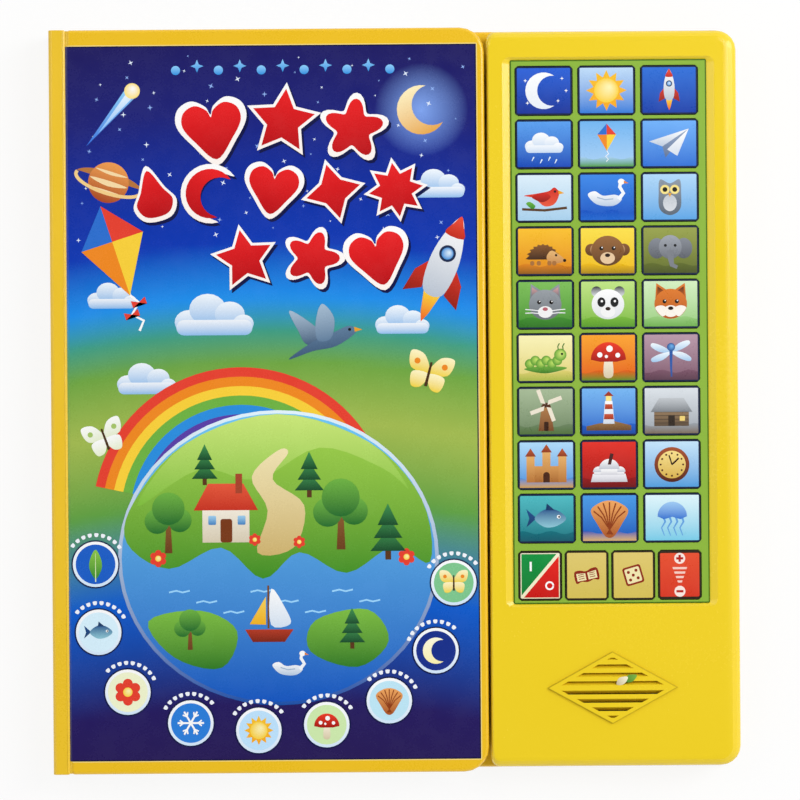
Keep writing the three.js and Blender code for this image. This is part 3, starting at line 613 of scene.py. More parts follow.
def mushroom(ink):
    ink.area(smooth([(-0.22, -0.9), (0.22, -0.9), (0.16, 0), (-0.16, 0)], 4), "d8c9a8", "fff6e0")
    ink.area(arc(0, -0.1, 0.86, 0, 180, 22) + [(-0.4, -0.2), (0.4, -0.2)], "a3130c", "f03a22")
    for x, y, radius in [(-0.42, 0.14, 0.13), (0.06, 0.44, 0.16), (0.46, 0.12, 0.12), (-0.1, 0.06, 0.08)]:
        ink.area(circle(x, y, radius, 1, 14), "ffffff")


def fish(ink, body="1f4f8c", belly="8fc8d8", fin="173a68"):
    ink.area([(-0.5, 0.02), (-1, 0.46), (-0.86, 0), (-1, -0.42)], fin, body)
    outline = [(-0.6, 0), (-0.1, -0.42), (0.5, -0.36), (0.95, 0), (0.5, 0.4), (-0.1, 0.44)]
    ink.area(smooth(outline), belly, body)
    ink.area([(-0.05, 0.4), (0.4, 0.4), (0.0, 0.74)], fin)
    ink.area(circle(0.58, 0.08, 0.09, 1, 12), "ffffff")
    ink.area(circle(0.6, 0.08, 0.05, 1, 10), "0c1420")


def shell(ink):
    outline = [(-0.2, -0.9), (0.2, -0.9), (0.6, -0.3), (0.92, 0.36), (0.5, 0.74), (0, 0.86)]
    outline += [(-0.5, 0.74), (-0.92, 0.36), (-0.6, -0.3)]
    ink.area(smooth(outline), "a8501c", "f2a860")
    for i in range(-3, 4):
        a = math.radians(90 + i * 20)
        near = (0.45 * math.cos(a), -0.2 + 0.45 * math.sin(a))
        far = (0.9 * math.cos(a), -0.1 + 0.88 * math.sin(a))
        ink.line([(0.05 * i, -0.8), near, far], 0.05, "8f3c10", 1.4)


def butterfly(ink, low="f2d23a", high="fff6c8", spot="f08a1e"):
    for side in (-1, 1):
        ink.area(smooth([(0, 0.05), (side * 0.35, 0.75), (side * 0.95, 0.8), (side * 0.8, 0.1)]), low, high)
        outline = [(0, -0.02), (side * 0.7, -0.05), (side * 0.62, -0.65), (side * 0.2, -0.6)]
        ink.area(smooth(outline), low, high)
        ink.area(circle(side * 0.6, 0.42, 0.13, 1, 12), spot)
    ink.line([(0, -0.55), (0, 0), (0, 0.5)], 0.13, "4a3018", 0.7)


def comet(ink):
    ink.area([(-1, -0.5), (0.62, 0.24), (0.42, 0.5)], "2f6fe0", "8fd0ff")
    ink.area([(-0.6, -0.3), (0.6, 0.28), (0.48, 0.44)], "7fc0ff", "f2fbff")
    ink.ball(0.6, 0.42, 0.2, "ffffff", "ffe27a")


def planet(ink):
    ink.area(arc(0, 0, 1.35, 15, 165, 20, 0.32), "b8763a")
    ink.area(circle(0, 0, 0.78, 1, 32), "a8441c", "f2a052")
    for y, height in ((-0.34, 0.12), (0.02, 0.16), (0.4, 0.1)):
        reach = math.sqrt(0.6 - y * y) - 0.02
        ink.area(smooth([(-reach, y), (0, y - height), (reach, y), (0, y + height / 3)], 4), "f8dca8")
    ink.line(arc(0, 0, 1.3, 168, 372, 24, 0.32), 0.13, "f4cf8a")


def rainbow(ink, radius, width, colours=("e8412f", "f28a1e", "fbd23a", "6fb443", "2a8fe0", "5a3fa8")):
    for i, colour in enumerate(colours):
        outer = radius - i * width
        ink.area(arc(0, 0, outer, 12, 168, 36) + arc(0, 0, outer - width, 168, 12, 36), colour)


def snowflake(ink):
    for arm in range(0, 360, 60):
        ink.line([spun([(reach, 0)], arm)[0] for reach in (0, 0.5, 0.9)], 0.13, "ffffff")
        fork = spun([(0.5, 0)], arm)[0]
        for turn in (-38, 38):
            twig = [spun([(reach, 0)], arm + turn)[0] for reach in (0, 0.16, 0.32)]
            ink.line([(fork[0] + x, fork[1] + y) for x, y in twig], 0.1, "ffffff")


def outlined(ink, outline, x, y, size, turn, fill, top):
    """A bold shape with a dark drop shadow and a white rim."""
    for shift, growth, low, high in [
        ((0.9, -1.1), 1.2, "0a1048", "0a1048"),
        ((0, 0), 1.2, "fff6f0", "ffffff"),
        ((0, 0), 1.0, fill, top),
    ]:
        level = ink.level
        ink.put(x + shift[0], y + shift[1], size * growth, turn, level)
        ink.area(outline, low, high)


def empty_tree(name, sockets):
    """A Geometry Nodes tree with named inputs, and those inputs' outlets inside it."""
    tree = bpy.data.node_groups.new(name, "GeometryNodeTree")
    tree.is_modifier = True
    for socket, kind in {**sockets, "Finish": "Material"}.items():
        tree.interface.new_socket(socket, in_out="INPUT", socket_type="NodeSocket" + kind)
    tree.interface.new_socket("Mesh", in_out="OUTPUT", socket_type="NodeSocketGeometry")
    return tree, add_node(tree, "NodeGroupInput").outputs


def end_tree(tree, source, shape):
    """The tree's end: instances become plain mesh and take the finish."""
    plain = add_node(tree, "GeometryNodeRealizeInstances", {0: shape}).outputs[0]
    coat = add_node(tree, "GeometryNodeSetMaterial", {"Geometry": plain, "Material": source["Finish"]})
    add_node(tree, "NodeGroupOutput", {"Mesh": coat.outputs["Geometry"]})
    return tree


def copies(tree, points, original, turn, **size):
    """The same object on every point, at a turn and, where it is given, a size."""
    shape = add_node(tree, "GeometryNodeObjectInfo", {"Object": original}).outputs["Geometry"]
    axis = add_node(tree, "ShaderNodeCombineXYZ", {"Z": turn}).outputs[0]
    inputs = {"Points": points, "Instance": shape, "Rotation": axis, **size}
    return add_node(tree, "GeometryNodeInstanceOnPoints", inputs).outputs[0]


def stamp_tree():
    """One printed shape on every point of a mesh, at the point's turn, a little uneven in turn and size."""
    sockets = {"Places": "Geometry", "Shape": "Object", "Size": "Float", "Size Spread": "Float"}
    sockets.update({"Turn Spread": "Float", "Seed": "Int"})
    tree, source = empty_tree("stamped_print", sockets)
    place_turn = add_node(tree, "GeometryNodeInputNamedAttribute", {"Name": "turn"}, data_type="FLOAT")
    uneven = []
    for shift in (0, 1):
        chance = add_node(tree, "FunctionNodeRandomValue", data_type="FLOAT")
        low, high = [socket for socket in chance.inputs if socket.enabled and socket.name in ("Min", "Max")]
        low.default_value = -1
        high.default_value = 1
        tree.links.new(reckon(tree, "ADD", source["Seed"], shift), chance.inputs["Seed"])
        uneven += [socket for socket in chance.outputs if socket.enabled]
    turn = reckon(tree, "MULTIPLY_ADD", uneven[0], source["Turn Spread"], place_turn.outputs["Attribute"])
    size = reckon(tree, "MULTIPLY_ADD", uneven[1], source["Size Spread"], source["Size"])
    return end_tree(tree, source, copies(tree, source["Places"], source["Shape"], turn, Scale=size))


def arc_tree():
    """Copies of one bead along an arc, each turned to face outwards."""
    sockets = {"Start": "Geometry", "Bead": "Object", "Radius": "Float", "Sweep": "Float", "Count": "Int"}
    tree, source = empty_tree("beads_on_an_arc", sockets)
    inputs = {"Resolution": source["Count"], "Radius": source["Radius"], "Sweep Angle": source["Sweep"]}
    inputs["Start Angle"] = reckon(tree, "MULTIPLY", source["Sweep"], -0.5)
    path = add_node(tree, "GeometryNodeCurveArc", inputs, mode="RADIUS").outputs["Curve"]
    position = add_node(tree, "GeometryNodeInputPosition").outputs[0]
    parts = add_node(tree, "ShaderNodeSeparateXYZ", {0: position}).outputs
    turn = reckon(tree, "ARCTAN2", parts["Y"], parts["X"])
    return end_tree(tree, source, copies(tree, path, source["Bead"], turn))


def grown(name, mesh, tree, **settings):
    """The plain mesh that a tree makes of another one."""
    piece = put_in_scene(name, mesh)
    maker = piece.modifiers.new(name, "NODES")
    maker.node_group = tree
    for socket in tree.interface.items_tree:
        value = settings.get(socket.name.replace(" ", "_").lower())
        if socket.in_out == "INPUT" and value is not None:
            maker[socket.identifier] = value
    make_plain(piece)
    return piece


STAMPED_PRINT = stamp_tree()
BEADS_ON_AN_ARC = arc_tree()


def stamped(name, body, shape, places, sheet, level, film, **settings):
    """Prints one shape at many places of a sheet. A place is x, y and a turn in degrees."""
    across, up = sheet.middle
    height = sheet.surface_z + level * INK_STEP
    mesh = bpy.data.meshes.new(name)
    mesh.from_pydata([((across + x) * MM, (up + y) * MM, height * MM) for x, y, _ in places], [], [])
    turns = mesh.attributes.new("turn", "FLOAT", "POINT")
    turns.data.foreach_set("value", [math.radians(turn) for _, _, turn in places])
    piece = grown(name, mesh, STAMPED_PRINT, shape=shape, finish=film, **settings)
    bpy.data.objects.remove(shape)
    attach(piece, body)
    return piece


def one_shape(outline, colour, top=None, size=1.0):
    """A single printed shape at the origin, ready to be stamped."""
    ink = Ink(0)
    ink.put(0, 0, size, 0, 0)
    ink.area(outline, colour, top)
    return ink.object("shape", printed_film)


printed_film = finish("laminated_print", "ink", 0.27, shade=0.06, patches=120, relief=0.003, **laminate)
cover_low, cover_high = (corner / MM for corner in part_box("front_cover"))
cover_top = cover_high.z
cover_middle = ((cover_low.x + cover_high.x) / 2, 0)
print_sheet = Ink(cover_top + 0.01, cover_middle)
print_sheet.field(PRINT_LEFT, PRINT_BOTTOM, PRINT_RIGHT, PRINT_TOP, 26, 90, sky)

# A dark line and a pale one where the picture meets the yellow border
for inset, width, colour in [(0.2, 0.5, "12103c"), (-0.25, 0.4, "f8dc82")]:
    print_sheet.put(0, 0, level=3)
    edge = [
        (PRINT_LEFT, PRINT_TOP - inset),
        (PRINT_RIGHT - inset, PRINT_TOP - inset),
        (PRINT_RIGHT - inset, PRINT_BOTTOM + inset),
        (PRINT_LEFT, PRINT_BOTTOM + inset),
    ]
    for start, end in zip(edge, edge[1:]):
        print_sheet.line([start, end], width, colour)

# Bold red shapes in three rows
BOLD_RED, BOLD_RED_TOP = "b80812", "ee1f22"
HEART_OUTLINE = smooth(HEART)
DROP = smooth(mirrored([(0, 1.1), (0.5, 0.2), (0.8, -0.35), (0.45, -0.9)]))
CRESCENT = arc(0, 0, 1, 55, 305, 20) + arc(0.42, 0, 0.8, 275, 85, 14)
BLOSSOM = []
for degree in range(0, 360, 6):
    reach = 0.78 + 0.22 * math.cos(math.radians(5 * degree))
    BLOSSOM.append((reach * math.cos(math.radians(degree)), reach * math.sin(math.radians(degree))))
BOLD_SHAPES = [
    (HEART_OUTLINE, -24, 104, 11.5, 8),
    (star(5, 0.5), 3, 107, 12.5, -6),
    (BLOSSOM, 30, 104, 11.5, 12),
    (DROP, -47, 79, 8.8, 14),
    (CRESCENT, -25, 79.5, 9.5, -20),
    (HEART_OUTLINE, -1, 81, 9.6, -8),
    (star(4, 0.5), 22, 80, 10.6, 14),
    (star(8, 0.6), 46, 80.5, 10.4, 8),
    (star(5, 0.5), -12, 54.5, 11.2, 10),
    (BLOSSOM, 14, 54.5, 10.4, 0),
    (HEART_OUTLINE, 39, 54.5, 10.6, 12),
]
for i, (outline, x, y, size, turn) in enumerate(BOLD_SHAPES):
    print_sheet.put(0, 0, level=16 + 3 * (i % 3))
    outlined(print_sheet, outline, x, y, size, turn, BOLD_RED, BOLD_RED_TOP)

# A row of small pale marks above them, stars and dots in turn
MARKS, MARK_SPACING, MARK_SIZE = 11, 8.2, 2.5
for first, outline in enumerate([circle(0, 0, 0.7), star(4, 0.4)]):
    row = [(-38 + MARK_SPACING * i, 126.7 + 1.6 * first, 0) for i in range(first, MARKS, 2)]
    shape = one_shape(outline, "2a8fe0", "8fd0ff", MARK_SIZE)
    marks = stamped(f"cover_marks_{first + 1}", "cover", shape, row, print_sheet, 5, printed_film, size=1.0)

# Night sky: the moon's glow and the stars
MOON_PLACE, GLOW_REACH = (56, 111), 18
print_sheet.put(*MOON_PLACE, 1, 0, 2)
print_sheet.ball(0, 0, GLOW_REACH, "7fa4f0", sky, light=(0, 0))
STARS, STARS_LEFT, STARS_FOOT = 90, PRINT_LEFT + 4, 62
STARS_ACROSS, STARS_UP, STAR_LEVEL = 149, 71, 2.6
# Steps that never fall in line, so that the stars look strewn
STEP_ACROSS, STEP_UP = 0.7549, 0.5698
for first, colour in enumerate(["e4efff", "8fb0f0"]):
    places = []
    for i in range(first, STARS, 2):
        x = STARS_LEFT + STARS_ACROSS * (i * STEP_ACROSS % 1)
        places.append((x, STARS_FOOT + STARS_UP * (i * STEP_UP % 1), 0))
    shape = one_shape(star(4, 0.3), colour)
    spread = {"size": 0.8, "size_spread": 0.4, "turn_spread": 0.8, "seed": 5 + first}
    name = f"cover_stars_{first + 1}"
    stars = stamped(name, "cover", shape, places, print_sheet, STAR_LEVEL, printed_film, **spread)

# Moon, comet, ringed planet, clouds, toys and birds, each at its x, y, size, turn and level
CLOUD_BLUE = ("8fbdec", "f4faff")
for motif, place, colours in [
    (moon, (*MOON_PLACE, 10.5, 25, 4), ("e8a84a", "fff0c0")),
    (comet, (-61, 110, 15, 20, 3), ()),
    (planet, (-64, 84, 10, -18, 4), ()),
    (cloud, (-24, 32, 16, 0, 3), CLOUD_BLUE),
    (cloud, (62, 82, 11, 0, 3), CLOUD_BLUE),
    (cloud, (-63, 40, 10, 0, 3), CLOUD_BLUE),
    (cloud, (48, 30, 11, 0, 3), CLOUD_BLUE),
    (cloud, (-50, 8, 12, 0, 3), CLOUD_BLUE),
    (rocket, (64, 52, 19, -22, 14), ()),
    (kite, (-61, 56, 20, 18, 14), ()),
    (flying_bird, (18, 22, 15, 8, 14), ()),
    (butterfly, (58, 10, 9, -15, 14), ()),
    (butterfly, (-66, -14, 8, 20, 14), ("e8f0d0", "ffffff", "a8c86a")),
]:
    print_sheet.put(*place)
    motif(print_sheet, *colours)

# Rainbow over a round hill with a lake
HILL_X, HILL_Y, HILL_REACH = 0, -60, 60
print_sheet.put(-14, -44, 1, 0, 12)
rainbow(print_sheet, 57, 3.6)
print_sheet.put(HILL_X, HILL_Y, 1, 0, 20)
print_sheet.area(circle(0, 0, HILL_REACH + 1.4, 0.92, 56), "0f4fa8", "e4f6ff")
print_sheet.area(circle(0, 0, HILL_REACH, 0.92, 56), "0a55c0", "6fc8f8")
MEADOW = [(-58, 6), (-42, -4), (-22, 4), (-6, -8), (8, 2), (26, -6), (44, 4), (58, -2)]
MEADOW += mirrored([(55, 22), (35, 44), (0, 55)])
FAR_RISE = [(-54, 20), (-30, 34), (-8, 30), (16, 42), (40, 34), (50, 26), (35, 44), (0, 55), (-35, 44)]
print_sheet.area(smooth(MEADOW), "3f8f24", "a8d850")
print_sheet.area(smooth(FAR_RISE), "7fbf3c", "cdea7a")
print_sheet.area(smooth([(-50, -24), (-30, -20), (-16, -28), (-22, -42), (-40, -38)]), "2f7a24", "7fbf44")
print_sheet.area(smooth([(14, -24), (34, -20), (42, -32), (30, -42), (12, -36)]), "2f7a24", "7fbf44")
PATH = [(-8, 2), (6, 4), (10, 20), (-2, 30), (4, 40), (0, 41), (-10, 31), (-4, 18)]
print_sheet.area(smooth(PATH), "d0b470", "f4e6b4")
for motif, x, y, size in [
    (fir, 12, 32, 9),
    (fir, -28, 36, 8),
    (house, -20, 18, 15),
    (tree, -42, 14, 12),
    (tree, 24, 17, 14),
    (fir, 42, 10, 11),
    (boat, -4, -22, 12),
    (tree, -34, -27, 8),
    (fir, 28, -27, 8),
    (flower, -46, 0, 3.6),
    (flower, 49, 0, 3.6),
    (flower, 8, 6, 2.6),
    (flower, -9, 7, 2.6),
    (swan, 4, -42, 7),
]:
    print_sheet.put(HILL_X + x, HILL_Y + y, size, 0, 28)
    motif(print_sheet)
for i in range(8):
    print_sheet.put(HILL_X - 38 + 10.4 * i, HILL_Y - 13 - 4 * (i % 3), 4, 0, 24)
    print_sheet.line([(-1, 0), (-0.3, 0.16), (0.3, 0), (1, 0.16)], 0.16, "9fd8ff")

# Round badges up both sides and along the foot, each under an arc of pale beads
BADGES = [
    (-70, -62, leaf, "1a5fc8", 88),
    (-69, -88, fish, "d8f2ff", 84),
    (-58, -111, flower, "f2f6d0", 80),
    (-34, -123, snowflake, "2a7fdc", 96),
    (-8, -126, sun, "bfe4ff", 92),
    (18, -124, mushroom, "d0ecb0", 88),
    (42, -115, shell, "bfe8f8", 80),
    (60, -96, moon, "16308c", 104),
    (67, -70, butterfly, "7fc890", 94),
]
BADGE_RADIUS = 8.7
for x, y, motif, ground, _ in BADGES:
    print_sheet.put(x, y, 1, 0, 42)
    print_sheet.area(circle(0, 0, BADGE_RADIUS + 0.5, 1, 36), "0a1448")
    print_sheet.area(circle(0, 0, BADGE_RADIUS, 1, 36), "d4e8fc", "ffffff")
    print_sheet.area(circle(0, 0, BADGE_RADIUS - 1.1, 1, 36), ground)
    print_sheet.put(x, y, 5.6, 0, 48)
    motif(print_sheet)
cover_print = print_sheet.sheet("cover_print", "cover", printed_film)
BEAD_ARC = {"radius": 11.2 * MM, "sweep": math.radians(104), "count": 9}
BEAD_OUTLINE = [(0.55, -0.8), (0.75, 0), (0.55, 0.8), (-0.55, 0.6), (-0.75, 0), (-0.55, -0.6)]
bead = one_shape(smooth(BEAD_OUTLINE, 3), "f4f8ff")
start = bpy.data.meshes.new("start")
bead_arc = grown("bead_arc", start, BEADS_ON_AN_ARC, bead=bead, finish=printed_film, **BEAD_ARC)
bpy.data.objects.remove(bead)
badge_places = [(x, y, turn) for x, y, _, _, turn in BADGES]
beads = stamped("badge_beads", "cover", bead_arc, badge_places, print_sheet, 44, printed_film, size=1.0)


# Crease strip
# The printed paper wrap bridges the gap between the strip and the cover and dips in a shallow fold there,
# as it lies with the cover shut. The picture starts at the fold, and the yellow runs on above and below it.
CREASE_REACH = 0.7
CREASE_DEPTH = 0.45
CREASE_STEPS = 5
CREASE_END = 0.4


def crease_mesh(strip_edge):
    left, right = strip_edge - CREASE_REACH, cover_low.x + CREASE_REACH
    fold = (left + right) / 2
    across = [left + (fold - left) * i / CREASE_STEPS for i in range(CREASE_STEPS + 1)]
    across += [fold + (right - fold) * i / CREASE_STEPS for i in range(1, CREASE_STEPS + 1)]
    up = [PRINT_BOTTOM + (PRINT_TOP - PRINT_BOTTOM) * j / 60 for j in range(61)]
    up = [cover_low.y + CREASE_END, *up, cover_high.y - CREASE_END]
    points, faces, colours = [], [], []
    for y in up:
        for x in across:
            dip = CREASE_DEPTH * math.cos(math.pi * (x - fold) / (right - left)) ** 4
            points.append((x * MM, y * MM, (cover_top + 0.05 - dip) * MM))
    row = len(across)
    for j in range(len(up) - 1):
        for i in range(row - 1):
            corners = (j * row + i, j * row + i + 1, (j + 1) * row + i + 1, (j + 1) * row + i)
            faces.append(corners)
            printed = i >= CREASE_STEPS and 0 < j < len(up) - 2
            for corner in corners:
                x, y, _ = points[corner]
                colours += sky(x / MM - cover_middle[0], y / MM) if printed else linear(STRIP_YELLOW)
    mesh = bpy.data.meshes.new("crease_paper")
    mesh.from_pydata(points, [], faces)
    mesh.color_attributes.new("ink", "FLOAT_COLOR", "CORNER").data.foreach_set("color", colours)
    mesh.shade_smooth()
    mesh.materials.append(printed_film)
    return mesh


strip_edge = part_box("spine_cover")[1].x
crease = put_in_scene("crease_paper", crease_mesh(strip_edge / MM))
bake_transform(crease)


# Leaves
# Eight thick board leaves, one solid glued at the spine, with fine gaps along the free edges. Their top
# page and the inside of the cover carry a plain pale print.
PAGE_MARGIN = 6
page_board = finish("page_board", "efece2", 0.6, shade=0.14, patches=60, grain=2600, relief=0.02)
repaint("page_block", page_board)
paper_print = finish("page_print", "ink", 0.42, shade=0.04, relief=0.003, Coat_Weight=0.2)
page_low, page_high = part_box("page_block")
page_ink = Ink(page_high.z / MM + 0.02)
PAGE_BANDS = [(140, "8fcdf2"), (20, "e4f6fc"), (-30, "f4fadc"), (-140, "a8d46a")]
page_ink.field(
    page_low.x / MM + PAGE_MARGIN,
    page_low.y / MM + PAGE_MARGIN,
    page_high.x / MM - PAGE_MARGIN,
    page_high.y / MM - PAGE_MARGIN,
    1,
    24,
    lambda x, y: blend_bands(PAGE_BANDS, y),
)
PAGE_MOTIFS = [(sun, -90, 98, 18), (cloud, -20, 92, 26), (tree, -90, -70, 34), (house, -20, -72, 32)]
for motif, x, y, size in PAGE_MOTIFS:
    page_ink.put(x, y, size, 0, 3)
    motif(page_ink)
page_ink.sheet("first_page_print", "case", paper_print)
for first, colour in enumerate(["e8412f", "f28a1e", "5a8fe0"]):
    bloom = Ink(0)
    bloom.put(0, 0, 4.5, 0, 0)
    flower(bloom, colour)
    places = [(-112 + 15 * i, -118 + 3 * (i % 2), 0) for i in range(first, 9, 3)]
    spread = {"size": 1.0, "size_spread": 0.15, "turn_spread": 0.6, "seed": 20 + first}
    shape = bloom.object("shape", paper_print)
    row = stamped(f"page_flowers_{first + 1}", "case", shape, places, page_ink, 3, paper_print, **spread)


# Inside of the cover
# A printed liner sheet, pale blue with rows of stars, glued over the wrap's turned edges and a little
# smaller than the board. It is drawn face up and then turned over to face the leaves.
LINER_MARGIN = 3.5
LINER_CORNER = 7
LINER_STARS_ACROSS, LINER_STARS_UP = 8, 15


def face_down(piece, height):
    """Turns a print over about its own height, so that it faces downwards."""
    for vertex in piece.data.vertices:
        vertex.co.z = 2 * height - vertex.co.z
    piece.data.flip_normals()


liner_left, liner_right = cover_low.x + LINER_MARGIN, cover_high.x - LINER_MARGIN
liner_foot, liner_head = cover_low.y + LINER_MARGIN, cover_high.y - LINER_MARGIN
liner_paper = finish("liner_paper", "ink", 0.42, shade=0.05, grain=2600, relief=0.006, Coat_Weight=0.15)
liner_height = cover_low.z - 0.03
liner_ink = Ink(liner_height)
liner_ink.area(rounded(liner_left, liner_foot, liner_right, liner_head, LINER_CORNER), "dcebf2", "bcdcf0")
face_down(liner_ink.sheet("cover_liner", "cover", liner_paper), liner_height * MM)
across = (liner_right - liner_left) / LINER_STARS_ACROSS
up = (liner_head - liner_foot) / LINER_STARS_UP
for first, colour in enumerate(["ffffff", "f2cf5a"]):
    places = []
    for row in range(first, LINER_STARS_UP, 2):
        for i in range(LINER_STARS_ACROSS - first):
            places.append((liner_left + across * (i + 0.5 + 0.5 * first), liner_foot + up * (row + 0.5), 0))
    shape = one_shape(smooth(star(5, 0.6), 2), colour, size=3.2 if first else 4)
    spread = {"size": 1.0, "size_spread": 0.1, "turn_spread": 0.4, "seed": 30 + first}
    stars = stamped(f"liner_stars_{first + 1}", "cover", shape, places, liner_ink, 3, liner_paper, **spread)
    face_down(stars, liner_height * MM)


# Module housing
# Two shells of glossy yellow moulded plastic, screwed together from below. The top shell has a rolled
# outer shoulder, a sunk keypad panel and a raised diamond of louvres over the speaker.
HOUSING_YELLOW = "f1d124"
HOUSING_BEVEL = 0.18
GRILLE_MIDDLE = (82.05, -110.6)
GRILLE_HALF = (24.7, 13.65)
# Reach and depth of the shade painted as a darker line round the foot of the grille's diamond
GRILLE_SHADE_REACH = 0.035
GRILLE_SHADE_DEPTH = 0.32


def paint_grille_foot_shade(material):
    """Painted shade: a darker line painted into the shell's colour where the grille's diamond rises from
    it, standing for the shadow at its foot.
    """
    tree = material.node_tree
    place = add_node(tree, "ShaderNodeTexCoord").outputs["Object"]
    parts = add_node(tree, "ShaderNodeSeparateXYZ", {0: place}).outputs
    shares = []
    for axis, middle, half in zip("XY", GRILLE_MIDDLE, GRILLE_HALF):
        away = reckon(tree, "ABSOLUTE", reckon(tree, "SUBTRACT", parts[axis], middle * MM))
        shares.append(reckon(tree, "DIVIDE", away, half * MM))
    off = reckon(tree, "ABSOLUTE", reckon(tree, "SUBTRACT", reckon(tree, "ADD", *shares), 1))
    limits = {"Value": off, "From Max": GRILLE_SHADE_REACH, "To Min": 1 - GRILLE_SHADE_DEPTH, "To Max": 1}
    line = add_node(tree, "ShaderNodeMapRange", limits, interpolation_type="SMOOTHSTEP").outputs["Result"]
    base = tree.nodes["Principled BSDF"].inputs["Base Color"]
    plain = base.links[0].from_socket
    shaded = add_node(tree, "ShaderNodeVectorMath", {0: plain, "Scale": line}, operation="SCALE")
    tree.links.new(shaded.outputs[0], base)
    return material


shell_look = {"roughness": 0.24, "shade": 0.04, "patches": 14, "grain": 700, "relief": 0.002}
housing_plastic = finish("yellow_moulded_plastic", HOUSING_YELLOW, **shell_look)
# The top shell's colour carries a painted shadow line round the foot of the grille's diamond.
top_plastic = paint_grille_foot_shade(finish("yellow_top_plastic", HOUSING_YELLOW, **shell_look))
rounded_copy("upper_housing", "module_top_shell", "case", top_plastic, HOUSING_BEVEL, sharp=40)
rounded_copy("lower_housing", "module_base_shell", "case", housing_plastic, HOUSING_BEVEL)
rounded_copy("battery_door", "battery_door_panel", "case", housing_plastic, HOUSING_BEVEL)


# Keypad film
# A green printed plastic film, glued into the shell's sunk panel, with a window for each key. A dark green
# line is drawn round its edge.
LABEL_GREEN = "8cb63a"
green_film = finish("green_keypad_film", LABEL_GREEN, 0.32, shade=0.06, relief=0.003, Coat_Weight=0.25)
rounded_copy("keypad_label", "green_film", "case", green_film, 0.04)
FILM_LINE = "3f6f14"
FILM_LINE_WIDTH = 0.45
film_low, film_high = (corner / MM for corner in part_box("keypad_label"))
film_line = Ink(film_high.z + 0.01, ((film_low.x + film_high.x) / 2, (film_low.y + film_high.y) / 2))
line_x = (film_high.x - film_low.x - FILM_LINE_WIDTH) / 2
line_y = (film_high.y - film_low.y - FILM_LINE_WIDTH) / 2
corners = box(-line_x, -line_y, line_x, line_y)
for start, end in zip(corners, corners[1:] + corners[:1]):
    film_line.line([start, end], FILM_LINE_WIDTH, FILM_LINE)
film_line.sheet("green_film_border", "case", printed_film)


# Picture keys
# Moulded plastic caps in the shell's windows, on the rubber domes. Each carries its own piece of printed
# film, with one picture in a dark outline.
KEY_BEVEL = 0.12
KEY_EDGE = "0a1c40"
OUTLINE = 0.5
key_film = finish("key_film", "ink", 0.3, shade=0.05, patches=150, relief=0.003, Coat_Weight=0.3)
key_cap = finish("dark_key_cap", KEY_EDGE, 0.35, shade=0.08)


def paper_plane(ink, low="b9c8dc", high="ffffff"):
    ink.area([(-1, 0.1), (0.95, 0.72), (-0.35, -0.15)], low, high)
    ink.area([(-0.35, -0.15), (0.95, 0.72), (-0.2, -0.7)], "5f7396", "93a6c4")
    ink.area([(-0.12, -0.3), (0.95, 0.72), (0.38, -0.62)], "d5deeb", high)


def bird(ink, body="d4271c", wing="8f1812", beak="f2a71e", belly="e8583a"):
    outline = [(-1, 0.1), (-0.5, -0.02), (0, -0.42), (0.5, -0.3), (0.72, 0.2), (0.5, 0.5), (0.2, 0.32)]
    outline += [(-0.4, 0.2)]
    ink.area(smooth(outline), belly, body)
    ink.area(smooth([(-0.62, 0.02), (-0.1, -0.22), (0.3, 0.02), (0.1, 0.22), (-0.25, 0.22)]), wing, body)
    ink.area([(0.68, 0.36), (0.98, 0.22), (0.7, 0.16)], beak)
    ink.area(circle(0.52, 0.3, 0.06, 1, 12), "101418")


def owl(ink, body="8d98a6", dark="5c6775"):
    outline = [(-0.55, 0.2), (-0.5, -0.6), (0, -0.9), (0.5, -0.6), (0.55, 0.2), (0.48, 0.85), (0, 0.66)]
    outline += [(-0.48, 0.85)]
    ink.area(smooth(outline), dark, body)
    ink.area(circle(0, -0.3, 0.34, 1.2, 20), "d9dde2", "c2c8cf")
    for x in (-0.24, 0.24):
        ink.area(circle(x, 0.36, 0.23, 1, 18), "f6e28a")
        ink.area(circle(x, 0.36, 0.12, 1, 14), "141414")
    ink.area([(-0.09, 0.18), (0.09, 0.18), (0, -0.02)], "e8a32a")


def hedgehog(ink):
    spines = []
    for i, (x, y) in enumerate(arc(-0.1, -0.5, 0.86, 0, 180, 22)):
        reach = 1.0 if i % 2 else 0.82
        spines.append((x * reach, y * reach))
    ink.area(spines, "3d2414", "8a5a30")
    outline = [(0.3, -0.62), (0.98, -0.48), (0.62, -0.12), (0.3, 0.02), (0.08, -0.3)]
    ink.area(smooth(outline), "c98c50", "e8b878")
    ink.area(circle(0.97, -0.46, 0.08, 1, 12), "1c1008")
    ink.area(circle(0.55, -0.2, 0.06, 1, 12), "1c1008")
    for x in (-0.62, -0.3, 0.22, 0.46):
        ink.area(rounded(x - 0.1, -0.7, x + 0.1, -0.48, 0.08), "a8703a")


def face(ink, fur, shade, ears, muzzle, nose="2a1a12", ear_height=0.62, ear_size=0.26, pointed=False):
    """An animal's head from the front: two ears, a round face, a pale muzzle and two eyes."""
    for side in (-1, 1):
        ear = circle(0.56 * side, ear_height, ear_size, 1, 20)
        if pointed:
            ear = [(0.76 * side, 0.15), (0.7 * side, 1.02), (0.1 * side, 0.62)]
            ink.area(ear, shade, fur)
            ear = [(0.67 * side, 0.4), (0.64 * side, 0.86), (0.3 * side, 0.62)]
        ink.area(ear, shade, ears)
    ink.area(circle(0, 0, 0.8, 0.92, 32), shade, fur)
    ink.area(circle(0, -0.36, 0.36, 0.8, 20), muzzle)
    ink.area(circle(0, -0.22, 0.13, 0.7, 14), nose)
    for x in (-0.3, 0.3):
        ink.area(circle(x, 0.12, 0.1, 1, 14), "120c08")
    for x in (-0.27, 0.33):
        ink.area(circle(x, 0.16, 0.035, 1, 8), "ffffff")


